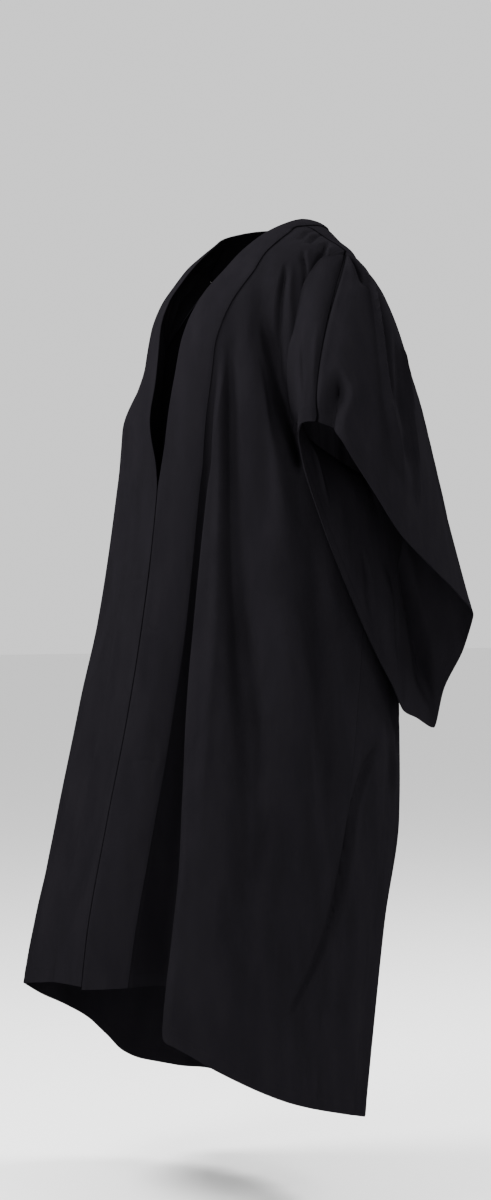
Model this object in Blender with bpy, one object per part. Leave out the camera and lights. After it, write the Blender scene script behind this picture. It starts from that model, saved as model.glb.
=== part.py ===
"""Graduation gown, worn open at the neck: hollow cloth walls in the worn pose.

Frame: metres, +Z up, the gown faces -Y, its left side is +X.  The origin is
the middle of the neck at shoulder height, where the shoulders carry it.

Everything lies on one body form.  A place on it is (angle, drop): angle in
degrees from the centre front, positive to the gown's left, 180 at the centre
back; drop is the way down from the neck edge.  Panels are stretched between
edge curves given in those two numbers, so their edges follow each other.
"""
import math

import bmesh
import bpy
import numpy as np

# ---------------------------------------------------------------- dimensions
WALL = 0.0020          # cloth wall
BAND_LIFT = 0.0032     # a band's middle stands this far off the front under it
UNDERLAP = 0.010       # how far a front or the yoke reaches under its band
SEAM_GAP = 0.0014      # gap between two panels sewn edge to edge
ARMHOLE_GAP = 0.0032   # gap between a sleeve's head and the armhole edge
NAPE_RISE = 0.002      # the back of the neck edge stands this much higher

# Rows of the fronts, bands and back, top to hem, closest round the armhole.
PANEL_STATIONS = (0.0, 0.012, 0.036, 0.066, 0.102, 0.142, 0.182, 0.216, 0.250,
                  0.284, 0.316, 0.350, 0.420, 0.490, 0.570, 0.660, 0.770,
                  0.880, 1.0)
FRONT_COLUMNS = 15
BACK_COLUMNS = 36
YOKE_ROWS = 4
SHOULDER_COLUMNS = 7   # yoke columns along each shoulder seam
SLEEVE_ROWS = 10
SLEEVE_COLUMNS = 30

# The body form: horizontal rings.  front and back are Y at the centre front
# and centre back, centre is the ring's own Y, square_front and square_back
# are how boxy its halves are (2 is an ellipse).
FORM_COLUMNS = ("drop", "z", "half_width", "front", "back", "centre",
                "square_front", "square_back")
FORM = (
    (0.000, -0.011, 0.066, -0.050, 0.066, 0.005, 2.00, 2.00),
    (0.025, -0.017, 0.088, -0.049, 0.074, 0.005, 2.00, 1.85),
    (0.065, -0.031, 0.123, -0.056, 0.080, 0.005, 2.00, 1.65),
    (0.110, -0.053, 0.159, -0.080, 0.084, 0.005, 2.00, 1.60),
    (0.148, -0.073, 0.187, -0.101, 0.099, 0.005, 2.00, 1.65),
    (0.180, -0.098, 0.196, -0.124, 0.113, 0.005, 2.00, 1.75),
    (0.220, -0.134, 0.201, -0.153, 0.127, 0.003, 2.00, 1.90),
    (0.260, -0.174, 0.204, -0.171, 0.137, 0.002, 2.00, 2.00),
    (0.310, -0.224, 0.207, -0.180, 0.144, 0.000, 2.05, 2.00),
    (0.400, -0.314, 0.212, -0.191, 0.150, 0.000, 2.10, 2.00),
    (0.460, -0.374, 0.217, -0.1925, 0.153, 0.000, 2.20, 2.00),
    (0.515, -0.429, 0.221, -0.1970, 0.155, -0.002, 2.30, 2.00),
    (0.700, -0.614, 0.236, -0.2215, 0.168, -0.012, 2.60, 2.00),
    (0.830, -0.744, 0.249, -0.2450, 0.178, -0.030, 3.00, 2.00),
    (0.990, -0.904, 0.262, -0.2810, 0.177, -0.055, 3.10, 2.00),
    (1.150, -1.064, 0.273, -0.3130, 0.150, -0.085, 3.30, 2.00),
    (1.230, -1.144, 0.277, -0.3225, 0.139, -0.100, 3.50, 2.00),
    (1.450, -1.364, 0.285, -0.3450, 0.110, -0.122, 3.50, 2.00),
)

# The hem's height, by how far forward the form is there.
HEM_COLUMNS = ("y", "left", "right")
HEM = (
    (-0.3450, -1.143, -1.133),
    (-0.3225, -1.143, -1.133),
    (-0.3214, -1.133, -1.144),
    (-0.3165, -1.137, -1.154),
    (-0.3110, -1.158, -1.159),
    (-0.3060, -1.186, -1.162),
    (-0.2980, -1.190, -1.166),
    (-0.2876, -1.197, -1.173),
    (-0.2560, -1.219, -1.196),
    (-0.1580, -1.270, -1.244),
    (-0.1240, -1.282, -1.276),
    (-0.1000, -1.289, -1.302),
    (-0.0670, -1.298, -1.318),
    (0.0700, -1.340, -1.340),
    (0.1300, -1.362, -1.362),
)

# The bands from shoulder to hem: outer edge (the band seam) and inner edge
# (the opening, then the centre front).
BAND_COLUMNS = ("outer_drop", "outer_angle", "inner_drop", "inner_angle")
BAND = (
    (0.0615, 82.0, 0.012, 90.0),
    (0.0640, 76.5, 0.022, 83.0),
    (0.086, 69.0, 0.046, 69.0),
    (0.110, 62.0, 0.085, 48.0),
    (0.134, 56.5, 0.115, 38.0),
    (0.158, 51.5, 0.143, 32.0),
    (0.184, 47.5, 0.172, 26.5),
    (0.212, 42.5, 0.202, 20.6),
    (0.236, 38.0, 0.229, 16.6),
    (0.265, 34.3, 0.261, 12.9),
    (0.291, 32.3, 0.289, 10.4),
    (0.340, 31.0, 0.340, 8.3),
    (0.434, 27.3, 0.434, 4.4),
    (0.475, 26.2, 0.475, 1.7),
    (0.505, 25.0, 0.505, 0.40),
    (0.725, 21.2, 0.725, 0.30),
    (0.945, 19.9, 0.945, 0.30),
    (1.085, 20.3, 1.085, 0.30),
    (1.450, 20.6, 1.450, 0.30),
)
# The bands round the neck, from the shoulder seam to the centre back.
NECK_COLUMNS = ("along", "outer_angle", "outer_drop", "inner_angle", "inner_drop")
NECK = (
    (0.00, 82.0, 0.0615, 90.0, 0.012),
    (0.20, 94.0, 0.057, 101.0, 0.004),
    (0.45, 115.0, 0.056, 118.0, 0.000),
    (1.00, 179.6, 0.054, 179.6, 0.000),
)
# The yoke's outer edge: the shoulder seam, the shoulder point, the back
# of the armhole, then the back seam.
YOKE_COLUMNS = ("along", "angle", "drop")
YOKE = (
    (0.00, 82.2, 0.065),
    (0.04, 84.0, 0.074),
    (0.09, 85.6, 0.094),
    (0.14, 87.6, 0.120),
    (0.20, 91.0, 0.148),
    (0.30, 98.0, 0.168),
    (0.38, 105.0, 0.190),
    (0.60, 130.0, 0.198),
    (1.00, 180.0, 0.214),
)
# A front's side edge: armhole from the shoulder point, then the side seam.
SIDE_COLUMNS = ("along", "front_angle", "front_drop", "back_angle", "back_drop")
SIDE = (
    (0.00, 91.0, 0.150, 105.0, 0.192),
    (0.03, 79.0, 0.170, 108.5, 0.220),
    (0.07, 70.5, 0.215, 111.5, 0.260),
    (0.12, 66.5, 0.275, 112.5, 0.320),
    (0.17, 64.2, 0.336, 111.0, 0.375),
    (0.21, 65.2, 0.385, 107.0, 0.418),
    (0.25, 69.5, 0.424, 102.5, 0.446),
    (0.29, 78.5, 0.453, 98.0, 0.464),
    (0.32, 87.0, 0.472, 96.2, 0.475),
    (0.35, 95.1, 0.490, 95.4, 0.490),
    (1.00, 92.0, 1.000, 92.0, 1.000),
)

# The left band falls back from the centre front and the left front makes one
# deep inverted fold beside it: its near wall, its bottom and its far ridge.
INVERTED_COLUMNS = ("drop", "set_back", "bottom_turn", "bottom", "ridge_turn")
INVERTED = {
    "left": (
        (0.300, 0.000, 2.0, 0.000, 6.0),
        (0.400, -0.007, 2.2, -0.011, 6.5),
        (0.495, -0.0155, 2.5, -0.024, 7.5),
        (0.725, -0.032, 3.8, -0.052, 11.5),
        (0.830, -0.037, 6.0, -0.070, 15.5),
        (0.945, -0.041, 8.6, -0.090, 20.5),
        (1.085, -0.040, 11.6, -0.104, 25.0),
        (1.450, -0.032, 14.0, -0.122, 29.5),
    ),
    "right": (
        (0.300, 0.000, 3.0, 0.000, 10.0),
        (0.725, -0.002, 14.0, -0.006, 30.0),
        (1.450, -0.004, 20.0, -0.020, 44.0),
    ),
}

# Soft folds and flutes, as troughs (-) and ridges (+) along the form.
FOLD_COLUMNS = ("name", "top", "foot", "angle_top", "angle_foot",
                "width_top", "width_foot", "depth_top", "depth_foot")
FOLDS = (
    # left front
    ("armpit valley", 0.20, 0.56, 53.0, 60.0, 5.0, 8.0, -0.007, -0.014),
    ("breast fold", 0.26, 0.90, 40.0, 58.0, 5.0, 7.0, -0.005, -0.011),
    ("hip swell", 0.60, 1.45, 66.0, 66.0, 12.0, 12.0, 0.006, 0.010),
    ("side step", 0.86, 1.30, 103.0, 80.0, 4.0, 5.0, -0.008, -0.006),
    # right front
    ("armpit valley", 0.20, 0.56, -53.0, -60.0, 5.0, 8.0, -0.007, -0.014),
    ("front flute", 0.46, 1.45, -58.0, -66.0, 6.0, 8.0, -0.005, -0.018),
    ("side flute", 0.56, 1.45, -84.0, -84.0, 7.0, 9.0, 0.004, 0.012),
    ("centre swell", 0.38, 0.46, -5.0, -4.0, 7.0, 7.0, 0.010, 0.004),
    ("hanging swell", 0.36, 1.45, -38.0, -38.0, 13.0, 14.0, 0.027, 0.022),
    ("hem flare", 1.08, 1.45, -45.0, -45.0, 11.0, 11.0, 0.000, 0.022),
    # back flutes
    ("flute", 0.19, 1.45, 122.0, 116.0, 4.5, 6.5, -0.004, -0.013),
    ("flute", 0.20, 1.45, 137.0, 132.0, 4.5, 7.0, -0.005, -0.021),
    ("flute", 0.20, 1.45, 150.0, 149.0, 4.5, 6.5, -0.005, -0.017),
    ("flute", 0.21, 1.45, 163.0, 165.0, 4.5, 7.0, -0.006, -0.024),
    ("flute", 0.21, 1.45, 176.0, 181.0, 4.5, 6.5, -0.005, -0.019),
    ("flute", 0.21, 1.45, -171.0, -163.0, 4.5, 7.0, -0.006, -0.023),
    ("flute", 0.20, 1.45, -157.0, -147.0, 4.5, 6.5, -0.005, -0.018),
    ("flute", 0.20, 1.45, -143.0, -131.0, 4.5, 7.0, -0.005, -0.022),
    ("flute", 0.19, 1.45, -127.0, -113.0, 4.5, 6.5, -0.004, -0.014),
)

# The left sleeve, by turn round it from the forearm seam over the outside to
# the back fold, the hanging point and the inside.  head is how far round the
# armhole that line starts, x y z is where it meets the hem; out and fall lead
# it off the armhole, rise, lean_x and lean_y lead it into the hem.
SLEEVE_NAMES = ("turn", "head", "x", "y", "z",
                "out", "fall", "rise", "lean_x", "lean_y")
SLEEVE = (
    (0.00, 0.000, 0.275, -0.103, -0.331, 0.020, 0.010, 0.130, -0.012, 0.004),
    (0.05, 0.012, 0.303, -0.092, -0.343, 0.044, 0.006, 0.130, -0.012, 0.014),
    (0.10, 0.025, 0.322, -0.070, -0.387, 0.064, 0.008, 0.160, -0.012, 0.014),
    (0.15, 0.040, 0.333, -0.035, -0.441, 0.074, 0.008, 0.190, -0.012, 0.008),
    (0.20, 0.060, 0.335, 0.010, -0.497, 0.080, 0.010, 0.220, -0.014, 0.000),
    (0.26, 0.085, 0.316, 0.072, -0.536, 0.082, 0.014, 0.230, -0.012, -0.010),
    (0.32, 0.120, 0.286, 0.140, -0.573, 0.075, 0.020, 0.215, -0.012, -0.042),
    (0.38, 0.170, 0.250, 0.193, -0.606, 0.068, 0.030, 0.210, -0.004, -0.072),
    (0.43, 0.235, 0.218, 0.202, -0.650, 0.055, 0.045, 0.190, 0.002, -0.070),
    (0.48, 0.305, 0.196, 0.181, -0.712, 0.052, 0.045, 0.190, 0.006, -0.050),
    (0.53, 0.370, 0.187, 0.168, -0.770, 0.050, 0.045, 0.180, 0.012, -0.040),
    (0.58, 0.425, 0.208, 0.122, -0.753, 0.048, 0.042, 0.160, 0.012, -0.024),
    (0.63, 0.470, 0.232, 0.083, -0.742, 0.046, 0.038, 0.140, 0.006, -0.012),
    (0.68, 0.515, 0.252, 0.040, -0.692, 0.044, 0.034, 0.110, 0.000, -0.004),
    (0.73, 0.560, 0.254, -0.015, -0.600, 0.040, 0.028, 0.080, 0.000, 0.000),
    (0.79, 0.615, 0.248, -0.070, -0.478, 0.042, 0.014, 0.050, -0.002, 0.004),
    (0.85, 0.680, 0.245, -0.103, -0.388, 0.040, 0.000, 0.020, -0.006, 0.004),
    (0.90, 0.760, 0.247, -0.112, -0.348, 0.032, 0.006, 0.025, -0.008, 0.004),
    (0.94, 0.840, 0.254, -0.112, -0.334, 0.024, 0.015, 0.050, -0.010, 0.006),
    (0.97, 0.930, 0.264, -0.108, -0.331, 0.018, 0.014, 0.100, -0.012, 0.006),
    (1.00, 1.000, 0.275, -0.103, -0.331, 0.020, 0.010, 0.130, -0.012, 0.004),
)
SLEEVE_SLIT = 0.0012   # turn left open at each edge of the forearm seam
# The right arm is held a little closer and further back than the left.
ARM_SHIFT = {"left": (0.0, 0.0), "right": (-0.012, 0.012)}

CLOTH_COLOUR = (0.012, 0.011, 0.014, 1.0)
CLOTH_ROUGHNESS = 0.62


# ------------------------------------------------------------- interpolation
def column(table, names, name):
    place = names.index(name)
    return np.array([row[place] for row in table], dtype=float)


def smooth(xs, ys, x):
    """Monotone cubic through the table's rows, held flat past its ends."""
    x = np.clip(np.asarray(x, dtype=float), xs[0], xs[-1])
    step = np.diff(xs)
    slope = np.diff(ys) / step
    tangent = np.empty(len(xs))
    tangent[0], tangent[-1] = slope[0], slope[-1]
    for i in range(1, len(xs) - 1):
        a, b = slope[i - 1], slope[i]
        if a * b <= 0.0:
            tangent[i] = 0.0
        else:
            w1 = 2.0 * step[i] + step[i - 1]
            w2 = step[i] + 2.0 * step[i - 1]
            tangent[i] = (w1 + w2) / (w1 / a + w2 / b)
    i = np.clip(np.searchsorted(xs, x, side="right") - 1, 0, len(xs) - 2)
    t = (x - xs[i]) / step[i]
    return ((2 * t ** 3 - 3 * t ** 2 + 1) * ys[i]
            + (t ** 3 - 2 * t ** 2 + t) * step[i] * tangent[i]
            + (-2 * t ** 3 + 3 * t ** 2) * ys[i + 1]
            + (t ** 3 - t ** 2) * step[i] * tangent[i + 1])


def look_up(table, names, key, name, at):
    return smooth(column(table, names, key), column(table, names, name), at)


def ease(t):
    t = np.clip(t, 0.0, 1.0)
    return t * t * (3.0 - 2.0 * t)


# ------------------------------------------------------------- the body form
def plain_ring(angle, drop):
    """X, Y, Z on the form with no folds, and the ring's centre Y."""
    a = np.radians(angle)
    s, c = np.sin(a), np.cos(a)
    width = look_up(FORM, FORM_COLUMNS, "drop", "half_width", drop)
    front = look_up(FORM, FORM_COLUMNS, "drop", "front", drop)
    back = look_up(FORM, FORM_COLUMNS, "drop", "back", drop)
    centre = look_up(FORM, FORM_COLUMNS, "drop", "centre", drop)
    square_front = look_up(FORM, FORM_COLUMNS, "drop", "square_front", drop)
    square_back = look_up(FORM, FORM_COLUMNS, "drop", "square_back", drop)
    z = look_up(FORM, FORM_COLUMNS, "drop", "z", drop)
    depth = np.where(c > 0.0, centre - front, back - centre)
    power = np.where(c > 0.0, square_front, square_back)
    radius = ((np.abs(s) / width) ** power
              + (np.abs(c) / depth) ** power) ** (-1.0 / power)
    z = z + NAPE_RISE * np.clip(-c, 0.0, 1.0) * np.exp(-(drop / 0.06) ** 2)
    return radius, s, c, centre, z


def inverted_fold(angle, drop, side):
    """How far the band and the deep fold beside it stand back."""
    table = INVERTED[side]
    seam = look_up(BAND, BAND_COLUMNS, "outer_drop", "outer_angle",
                   np.maximum(drop, 0.213))
    set_back = look_up(table, INVERTED_COLUMNS, "drop", "set_back", drop)
    bottom = look_up(table, INVERTED_COLUMNS, "drop", "bottom", drop)
    turn = seam + look_up(table, INVERTED_COLUMNS, "drop", "bottom_turn", drop)
    ridge = seam + look_up(table, INVERTED_COLUMNS, "drop", "ridge_turn", drop)
    t = np.abs(angle)
    on_band = set_back * (np.clip(t / seam, 0.0, 1.0)) ** 1.35
    inside = np.clip((t - seam) / (turn - seam), 0.0, 1.0)
    inward = set_back + (bottom - set_back) * (1.0 - (1.0 - inside) ** 2)
    outward = bottom * (1.0 - ease((t - turn) / (ridge - turn)))
    return np.where(t < seam, on_band, np.where(t < turn, inward, outward))


def soft_folds(angle, drop):
    total = np.zeros(np.broadcast(angle, drop).shape)
    for (_name, top, foot, angle_top, angle_foot, width_top, width_foot,
         depth_top, depth_foot) in FOLDS:
        t = np.clip((drop - top) / (foot - top), 0.0, 1.0)
        middle = angle_top + (angle_foot - angle_top) * t
        width = width_top + (width_foot - width_top) * t
        depth = depth_top + (depth_foot - depth_top) * t
        away = (angle - middle + 180.0) % 360.0 - 180.0
        fade = ease((drop - top + 0.05) / 0.10)
        if foot < 1.40:
            fade = fade * ease((foot + 0.06 - drop) / 0.12)
        total = total + depth * fade * np.exp(-(away / width) ** 2)
    return total


def form(angle, drop):
    """Points of the body form, folds and all; angle may pass 180."""
    angle = (np.asarray(angle, dtype=float) + 180.0) % 360.0 - 180.0
    drop = np.asarray(drop, dtype=float)
    radius, s, c, centre, z = plain_ring(angle, drop)
    fold = np.where(angle >= 0.0, inverted_fold(angle, drop, "left"),
                    inverted_fold(angle, drop, "right"))
    radius = radius + fold + soft_folds(angle, drop)
    return np.stack([radius * s, centre - radius * c, z], axis=-1)


def form_normal(angle, drop):
    """Unit normals of the form, outward, the same for every panel there."""
    turn, fall = 0.4, 0.002
    across = form(angle + turn, drop) - form(angle - turn, drop)
    down = (form(angle, drop + fall)
            - form(angle, np.maximum(drop - fall, 0.0)))
    normal = np.cross(down, across)
    return normal / np.maximum(np.linalg.norm(normal, axis=-1, keepdims=True), 1e-12)


def hem_drop(angle):
    """The drop at which the hem comes, at each angle."""
    angle = (np.asarray(angle, dtype=float) + 180.0) % 360.0 - 180.0
    drop = np.full(angle.shape, 1.33)
    for _ in range(12):
        radius, _s, c, centre, _z = plain_ring(angle, drop)
        y = centre - radius * c
        z = np.where(angle >= 0.0,
                     look_up(HEM, HEM_COLUMNS, "y", "left", y),
                     look_up(HEM, HEM_COLUMNS, "y", "right", y))
        drop = 0.5 * drop + 0.5 * (0.086 - z)
    return drop


# ------------------------------------------------------------- cloth walls
def normals_of(points, outward_from):
    """Unit normals of a grid of points, pointing away from outward_from."""
    along = np.gradient(points, axis=0)
    across = np.gradient(points, axis=1)
    normal = np.cross(along, across)
    normal /= np.maximum(np.linalg.norm(normal, axis=-1, keepdims=True), 1e-12)
    if np.mean(np.sum(normal * (points - outward_from), axis=-1)) < 0.0:
        normal = -normal
    return normal


def cloth_wall(name, points, normal, lift, material):
    """A closed wall of cloth about a grid of points."""
    rows, columns = points.shape[:2]
    outer = (points + normal * (lift + WALL / 2)).reshape(-1, 3)
    inner = (points + normal * (lift - WALL / 2)).reshape(-1, 3)
    count = rows * columns
    faces = []
    for i in range(rows - 1):
        for j in range(columns - 1):
            a, b = i * columns + j, i * columns + j + 1
            c, d = (i + 1) * columns + j + 1, (i + 1) * columns + j
            # both faces of the wall are cut along the same, shorter diagonal
            if (np.linalg.norm(points[i, j] - points[i + 1, j + 1])
                    <= np.linalg.norm(points[i, j + 1] - points[i + 1, j])):
                halves = ((a, b, c), (a, c, d))
            else:
                halves = ((a, b, d), (b, c, d))
            for p, q, r in halves:
                faces.append((p, q, r))
                faces.append((p + count, r + count, q + count))
    rim = ([j for j in range(columns)]
           + [i * columns + columns - 1 for i in range(1, rows)]
           + [(rows - 1) * columns + j for j in range(columns - 2, -1, -1)]
           + [i * columns for i in range(rows - 2, 0, -1)])
    for k, a in enumerate(rim):
        b = rim[(k + 1) % len(rim)]
        faces.append((b, a, a + count, b + count))
    mesh = bpy.data.meshes.new(name)
    mesh.from_pydata(np.vstack([outer, inner]).tolist(), [], faces)
    work = bmesh.new()
    work.from_mesh(mesh)
    bmesh.ops.triangulate(work, faces=work.faces[:])
    bmesh.ops.recalc_face_normals(work, faces=work.faces[:])
    if work.calc_volume(signed=True) < 0.0:
        bmesh.ops.reverse_faces(work, faces=work.faces[:])
    work.to_mesh(mesh)
    work.free()
    mesh.shade_smooth()
    mesh.set_sharp_from_angle(angle=math.radians(50.0))
    mesh.materials.append(material)
    thing = bpy.data.objects.new(name, mesh)
    bpy.context.scene.collection.objects.link(thing)
    return thing


def cloth_material(name, colour=CLOTH_COLOUR, roughness=CLOTH_ROUGHNESS):
    material = bpy.data.materials.new(name)
    material.use_nodes = True
    shader = material.node_tree.nodes["Principled BSDF"]
    shader.inputs["Base Color"].default_value = colour
    shader.inputs["Roughness"].default_value = roughness
    shader.inputs["Metallic"].default_value = 0.0
    return material


# ------------------------------------------------------------- the panels
def side_edge(v, panel, sign):
    """A front's or the back's side edge: the armhole, then the side seam."""
    angle = look_up(SIDE, SIDE_COLUMNS, "along", panel + "_angle", v)
    drop = look_up(SIDE, SIDE_COLUMNS, "along", panel + "_drop", v)
    start, end = SIDE[-2], SIDE[-1]
    place = SIDE_COLUMNS.index(panel + "_angle")
    hem = hem_drop(np.full(v.shape, sign * end[place]))
    t = (v - start[0]) / (end[0] - start[0])
    seam_angle = start[place] + (end[place] - start[place]) * t
    seam_drop = start[place + 1] + (hem - start[place + 1]) * t
    half_gap = np.degrees(SEAM_GAP / 2 / 0.2) * (1.0 if panel == "back" else -1.0)
    return (np.where(t < 0.0, angle, seam_angle) + half_gap,
            np.where(t < 0.0, drop, seam_drop))


def yoke_stations():
    """Column parameters of the yoke from the shoulder seam's neck end, over
    the shoulder point and the armhole, to the centre back."""
    return np.concatenate([np.linspace(0.0, 0.20, SHOULDER_COLUMNS + 1),
                           np.linspace(0.20, 0.38, 4)[1:],
                           np.linspace(0.38, 1.0, 6)[1:]])


def band_edges(v, side):
    """Outer and inner band edge (angle, drop) at row parameter v."""
    sign = 1.0 if side == "left" else -1.0
    top = BAND[0][0]
    outer_hem = hem_drop(np.full(v.shape, sign * BAND[-1][1]))
    outer_drop = top + (outer_hem - top) * v
    outer_angle = look_up(BAND, BAND_COLUMNS, "outer_drop", "outer_angle", outer_drop)
    inner_drop = look_up(BAND, BAND_COLUMNS, "outer_drop", "inner_drop", outer_drop)
    inner_angle = look_up(BAND, BAND_COLUMNS, "outer_drop", "inner_angle", outer_drop)
    inner_hem = hem_drop(np.full(v.shape, sign * BAND[-1][3]))
    inner_drop = inner_drop + (inner_hem - outer_hem) * ease((outer_drop - 0.9) / (outer_hem - 0.9))
    return outer_angle, outer_drop, inner_angle, inner_drop


def band_grid(side):
    v = np.array(PANEL_STATIONS)[::-1]
    outer_angle, outer_drop, inner_angle, inner_drop = band_edges(v, side)
    along = yoke_stations()[1:]
    neck = {name: look_up(NECK, NECK_COLUMNS, "along", name, along)
            for name in NECK_COLUMNS[1:]}
    outer_angle = np.concatenate([outer_angle, neck["outer_angle"]])
    outer_drop = np.concatenate([outer_drop, neck["outer_drop"]])
    inner_angle = np.concatenate([inner_angle, neck["inner_angle"]])
    inner_drop = np.concatenate([inner_drop, neck["inner_drop"]])
    width = np.hypot((outer_angle - inner_angle) * math.pi / 180.0
                     * plain_ring(outer_angle, outer_drop)[0],
                     outer_drop - inner_drop)
    tuck = UNDERLAP / width
    share = np.stack([np.zeros_like(tuck), np.full_like(tuck, 0.30),
                      np.full_like(tuck, 0.60), 1.0 - tuck,
                      np.ones_like(tuck)], axis=1)
    angle = inner_angle[:, None] + (outer_angle - inner_angle)[:, None] * share
    drop = inner_drop[:, None] + (outer_drop - inner_drop)[:, None] * share
    sign = 1.0 if side == "left" else -1.0
    return sign * angle, drop


def front_columns(even, outer_angle, drop, side_angle, side):
    """Each row's columns as shares from the band seam to the side edge; low
    down, columns keep to the bottom and the ridge of the deep fold."""
    table = INVERTED[side]
    bottom = look_up(table, INVERTED_COLUMNS, "drop", "bottom_turn", drop)
    ridge = look_up(table, INVERTED_COLUMNS, "drop", "ridge_turn", drop)
    whole = side_angle - outer_angle
    marks = np.array([0.0, 2.0, 5.0, FRONT_COLUMNS - 1.0]) / (FRONT_COLUMNS - 1.0)
    rows = []
    for b, r, w, d in zip(bottom, ridge, whole, drop):
        fitted = np.interp(even, marks, [0.0, b / w, r / w, 1.0])
        blend = ease((d - 0.22) / 0.24)
        rows.append(even + (fitted - even) * blend)
    return np.array(rows)


def front_grid(side):
    v = np.array(PANEL_STATIONS)
    sign = 1.0 if side == "left" else -1.0
    outer_angle, outer_drop, inner_angle, inner_drop = band_edges(v, side)
    width = np.hypot((outer_angle - inner_angle) * math.pi / 180.0
                     * plain_ring(outer_angle, outer_drop)[0],
                     outer_drop - inner_drop)
    tuck = (UNDERLAP / width)
    first_angle = outer_angle + (inner_angle - outer_angle) * tuck
    first_drop = outer_drop + (inner_drop - outer_drop) * tuck
    side_angle, side_drop = side_edge(v, "front", sign)
    even = np.linspace(0.0, 1.0, FRONT_COLUMNS)
    share = front_columns(even, outer_angle, outer_drop, side_angle, side)
    angle = outer_angle[:, None] + (side_angle - outer_angle)[:, None] * share
    drop = outer_drop[:, None] + (side_drop - outer_drop)[:, None] * share
    along = 0.20 * even
    seam_angle = look_up(YOKE, YOKE_COLUMNS, "along", "angle", along)
    seam_drop = look_up(YOKE, YOKE_COLUMNS, "along", "drop", along)
    fade = np.clip(1.0 - v / 0.12, 0.0, 1.0)[:, None]
    angle = angle + (seam_angle - angle[0])[None, :] * fade
    drop = drop + (seam_drop - drop[0])[None, :] * fade
    angle = angle - np.degrees(SEAM_GAP / 0.15) * fade
    first_angle = first_angle - np.degrees(1.6 * SEAM_GAP / 0.10) * fade[:, 0]
    angle = np.concatenate([first_angle[:, None], angle], axis=1)
    drop = np.concatenate([first_drop[:, None], drop], axis=1)
    drop[-1] = hem_drop(sign * angle[-1])
    return sign * angle, drop


def back_grid():
    v = np.array(PANEL_STATIONS)
    share = np.linspace(-1.0, 1.0, BACK_COLUMNS + 1)
    edge_angle, right_drop = side_edge(v, "back", -1.0)
    left_drop = side_edge(v, "back", 1.0)[1]
    angle = 180.0 + (180.0 - edge_angle)[:, None] * share[None, :]
    drop = np.empty_like(angle)
    along = 0.38 + 0.62 * (1.0 - np.abs(share))
    top_drop = look_up(YOKE, YOKE_COLUMNS, "along", "drop", along) + SEAM_GAP
    for k, s in enumerate(share):
        hem_here = hem_drop(np.array([angle[-1, k]]))[0]
        edge = left_drop if s < 0 else right_drop
        middle = top_drop[k] + (hem_here - top_drop[k]) * v
        mix = abs(s) ** 3
        line = (1.0 - mix) * middle + mix * edge
        line[-1] = hem_here
        line[0] = top_drop[k]
        drop[:, k] = line
    return angle, drop


def yoke_grid():
    along = yoke_stations()
    inner_angle = look_up(NECK, NECK_COLUMNS, "along", "outer_angle", along)
    inner_drop = look_up(NECK, NECK_COLUMNS, "along", "outer_drop", along)
    edge_angle = look_up(NECK, NECK_COLUMNS, "along", "inner_angle", along)
    edge_drop = look_up(NECK, NECK_COLUMNS, "along", "inner_drop", along)
    inner_angle[-1] = 180.0
    edge_angle[-1] = 180.0
    width = np.hypot((inner_angle - edge_angle) * math.pi / 180.0
                     * plain_ring(inner_angle, inner_drop)[0],
                     inner_drop - edge_drop)
    tuck = UNDERLAP / width
    first_angle = inner_angle + (edge_angle - inner_angle) * tuck
    first_drop = inner_drop + (edge_drop - inner_drop) * tuck
    outer_angle = look_up(YOKE, YOKE_COLUMNS, "along", "angle", along)
    outer_drop = look_up(YOKE, YOKE_COLUMNS, "along", "drop", along)
    share = np.linspace(0.0, 1.0, YOKE_ROWS)
    angle = inner_angle[:, None] + (outer_angle - inner_angle)[:, None] * share
    drop = inner_drop[:, None] + (outer_drop - inner_drop)[:, None] * share
    angle = np.concatenate([first_angle[:, None], angle], axis=1)
    drop = np.concatenate([first_drop[:, None], drop], axis=1)
    mirror_angle = 360.0 - angle[::-1][1:]
    mirror_drop = drop[::-1][1:]
    return np.vstack([angle, mirror_angle]), np.vstack([drop, mirror_drop])


# ------------------------------------------------------------- the sleeves
def armhole_round(side, stations):
    """The armhole's edge on the form, from the shoulder point over the back,
    under the arm and up the front: angle, drop and share of its length."""
    over = np.linspace(0.20, 0.38, 4 if len(stations) < 30 else 40)
    angle = [look_up(YOKE, YOKE_COLUMNS, "along", "angle", over)]
    drop = [look_up(YOKE, YOKE_COLUMNS, "along", "drop", over)]
    rows = np.array([v for v in stations if v < 0.345])
    down = rows[1:]
    angle.append(look_up(SIDE, SIDE_COLUMNS, "along", "back_angle", down))
    drop.append(look_up(SIDE, SIDE_COLUMNS, "along", "back_drop", down))
    up = rows[::-1]
    angle.append(look_up(SIDE, SIDE_COLUMNS, "along", "front_angle", up))
    drop.append(look_up(SIDE, SIDE_COLUMNS, "along", "front_drop", up))
    angle, drop = np.concatenate(angle), np.concatenate(drop)
    sign = 1.0 if side == "left" else -1.0
    points = form(sign * angle, drop)
    steps = np.linalg.norm(np.diff(points, axis=0), axis=1)
    share = np.concatenate([[0.0], np.cumsum(steps)])
    return sign * angle, drop, share / share[-1]


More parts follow.
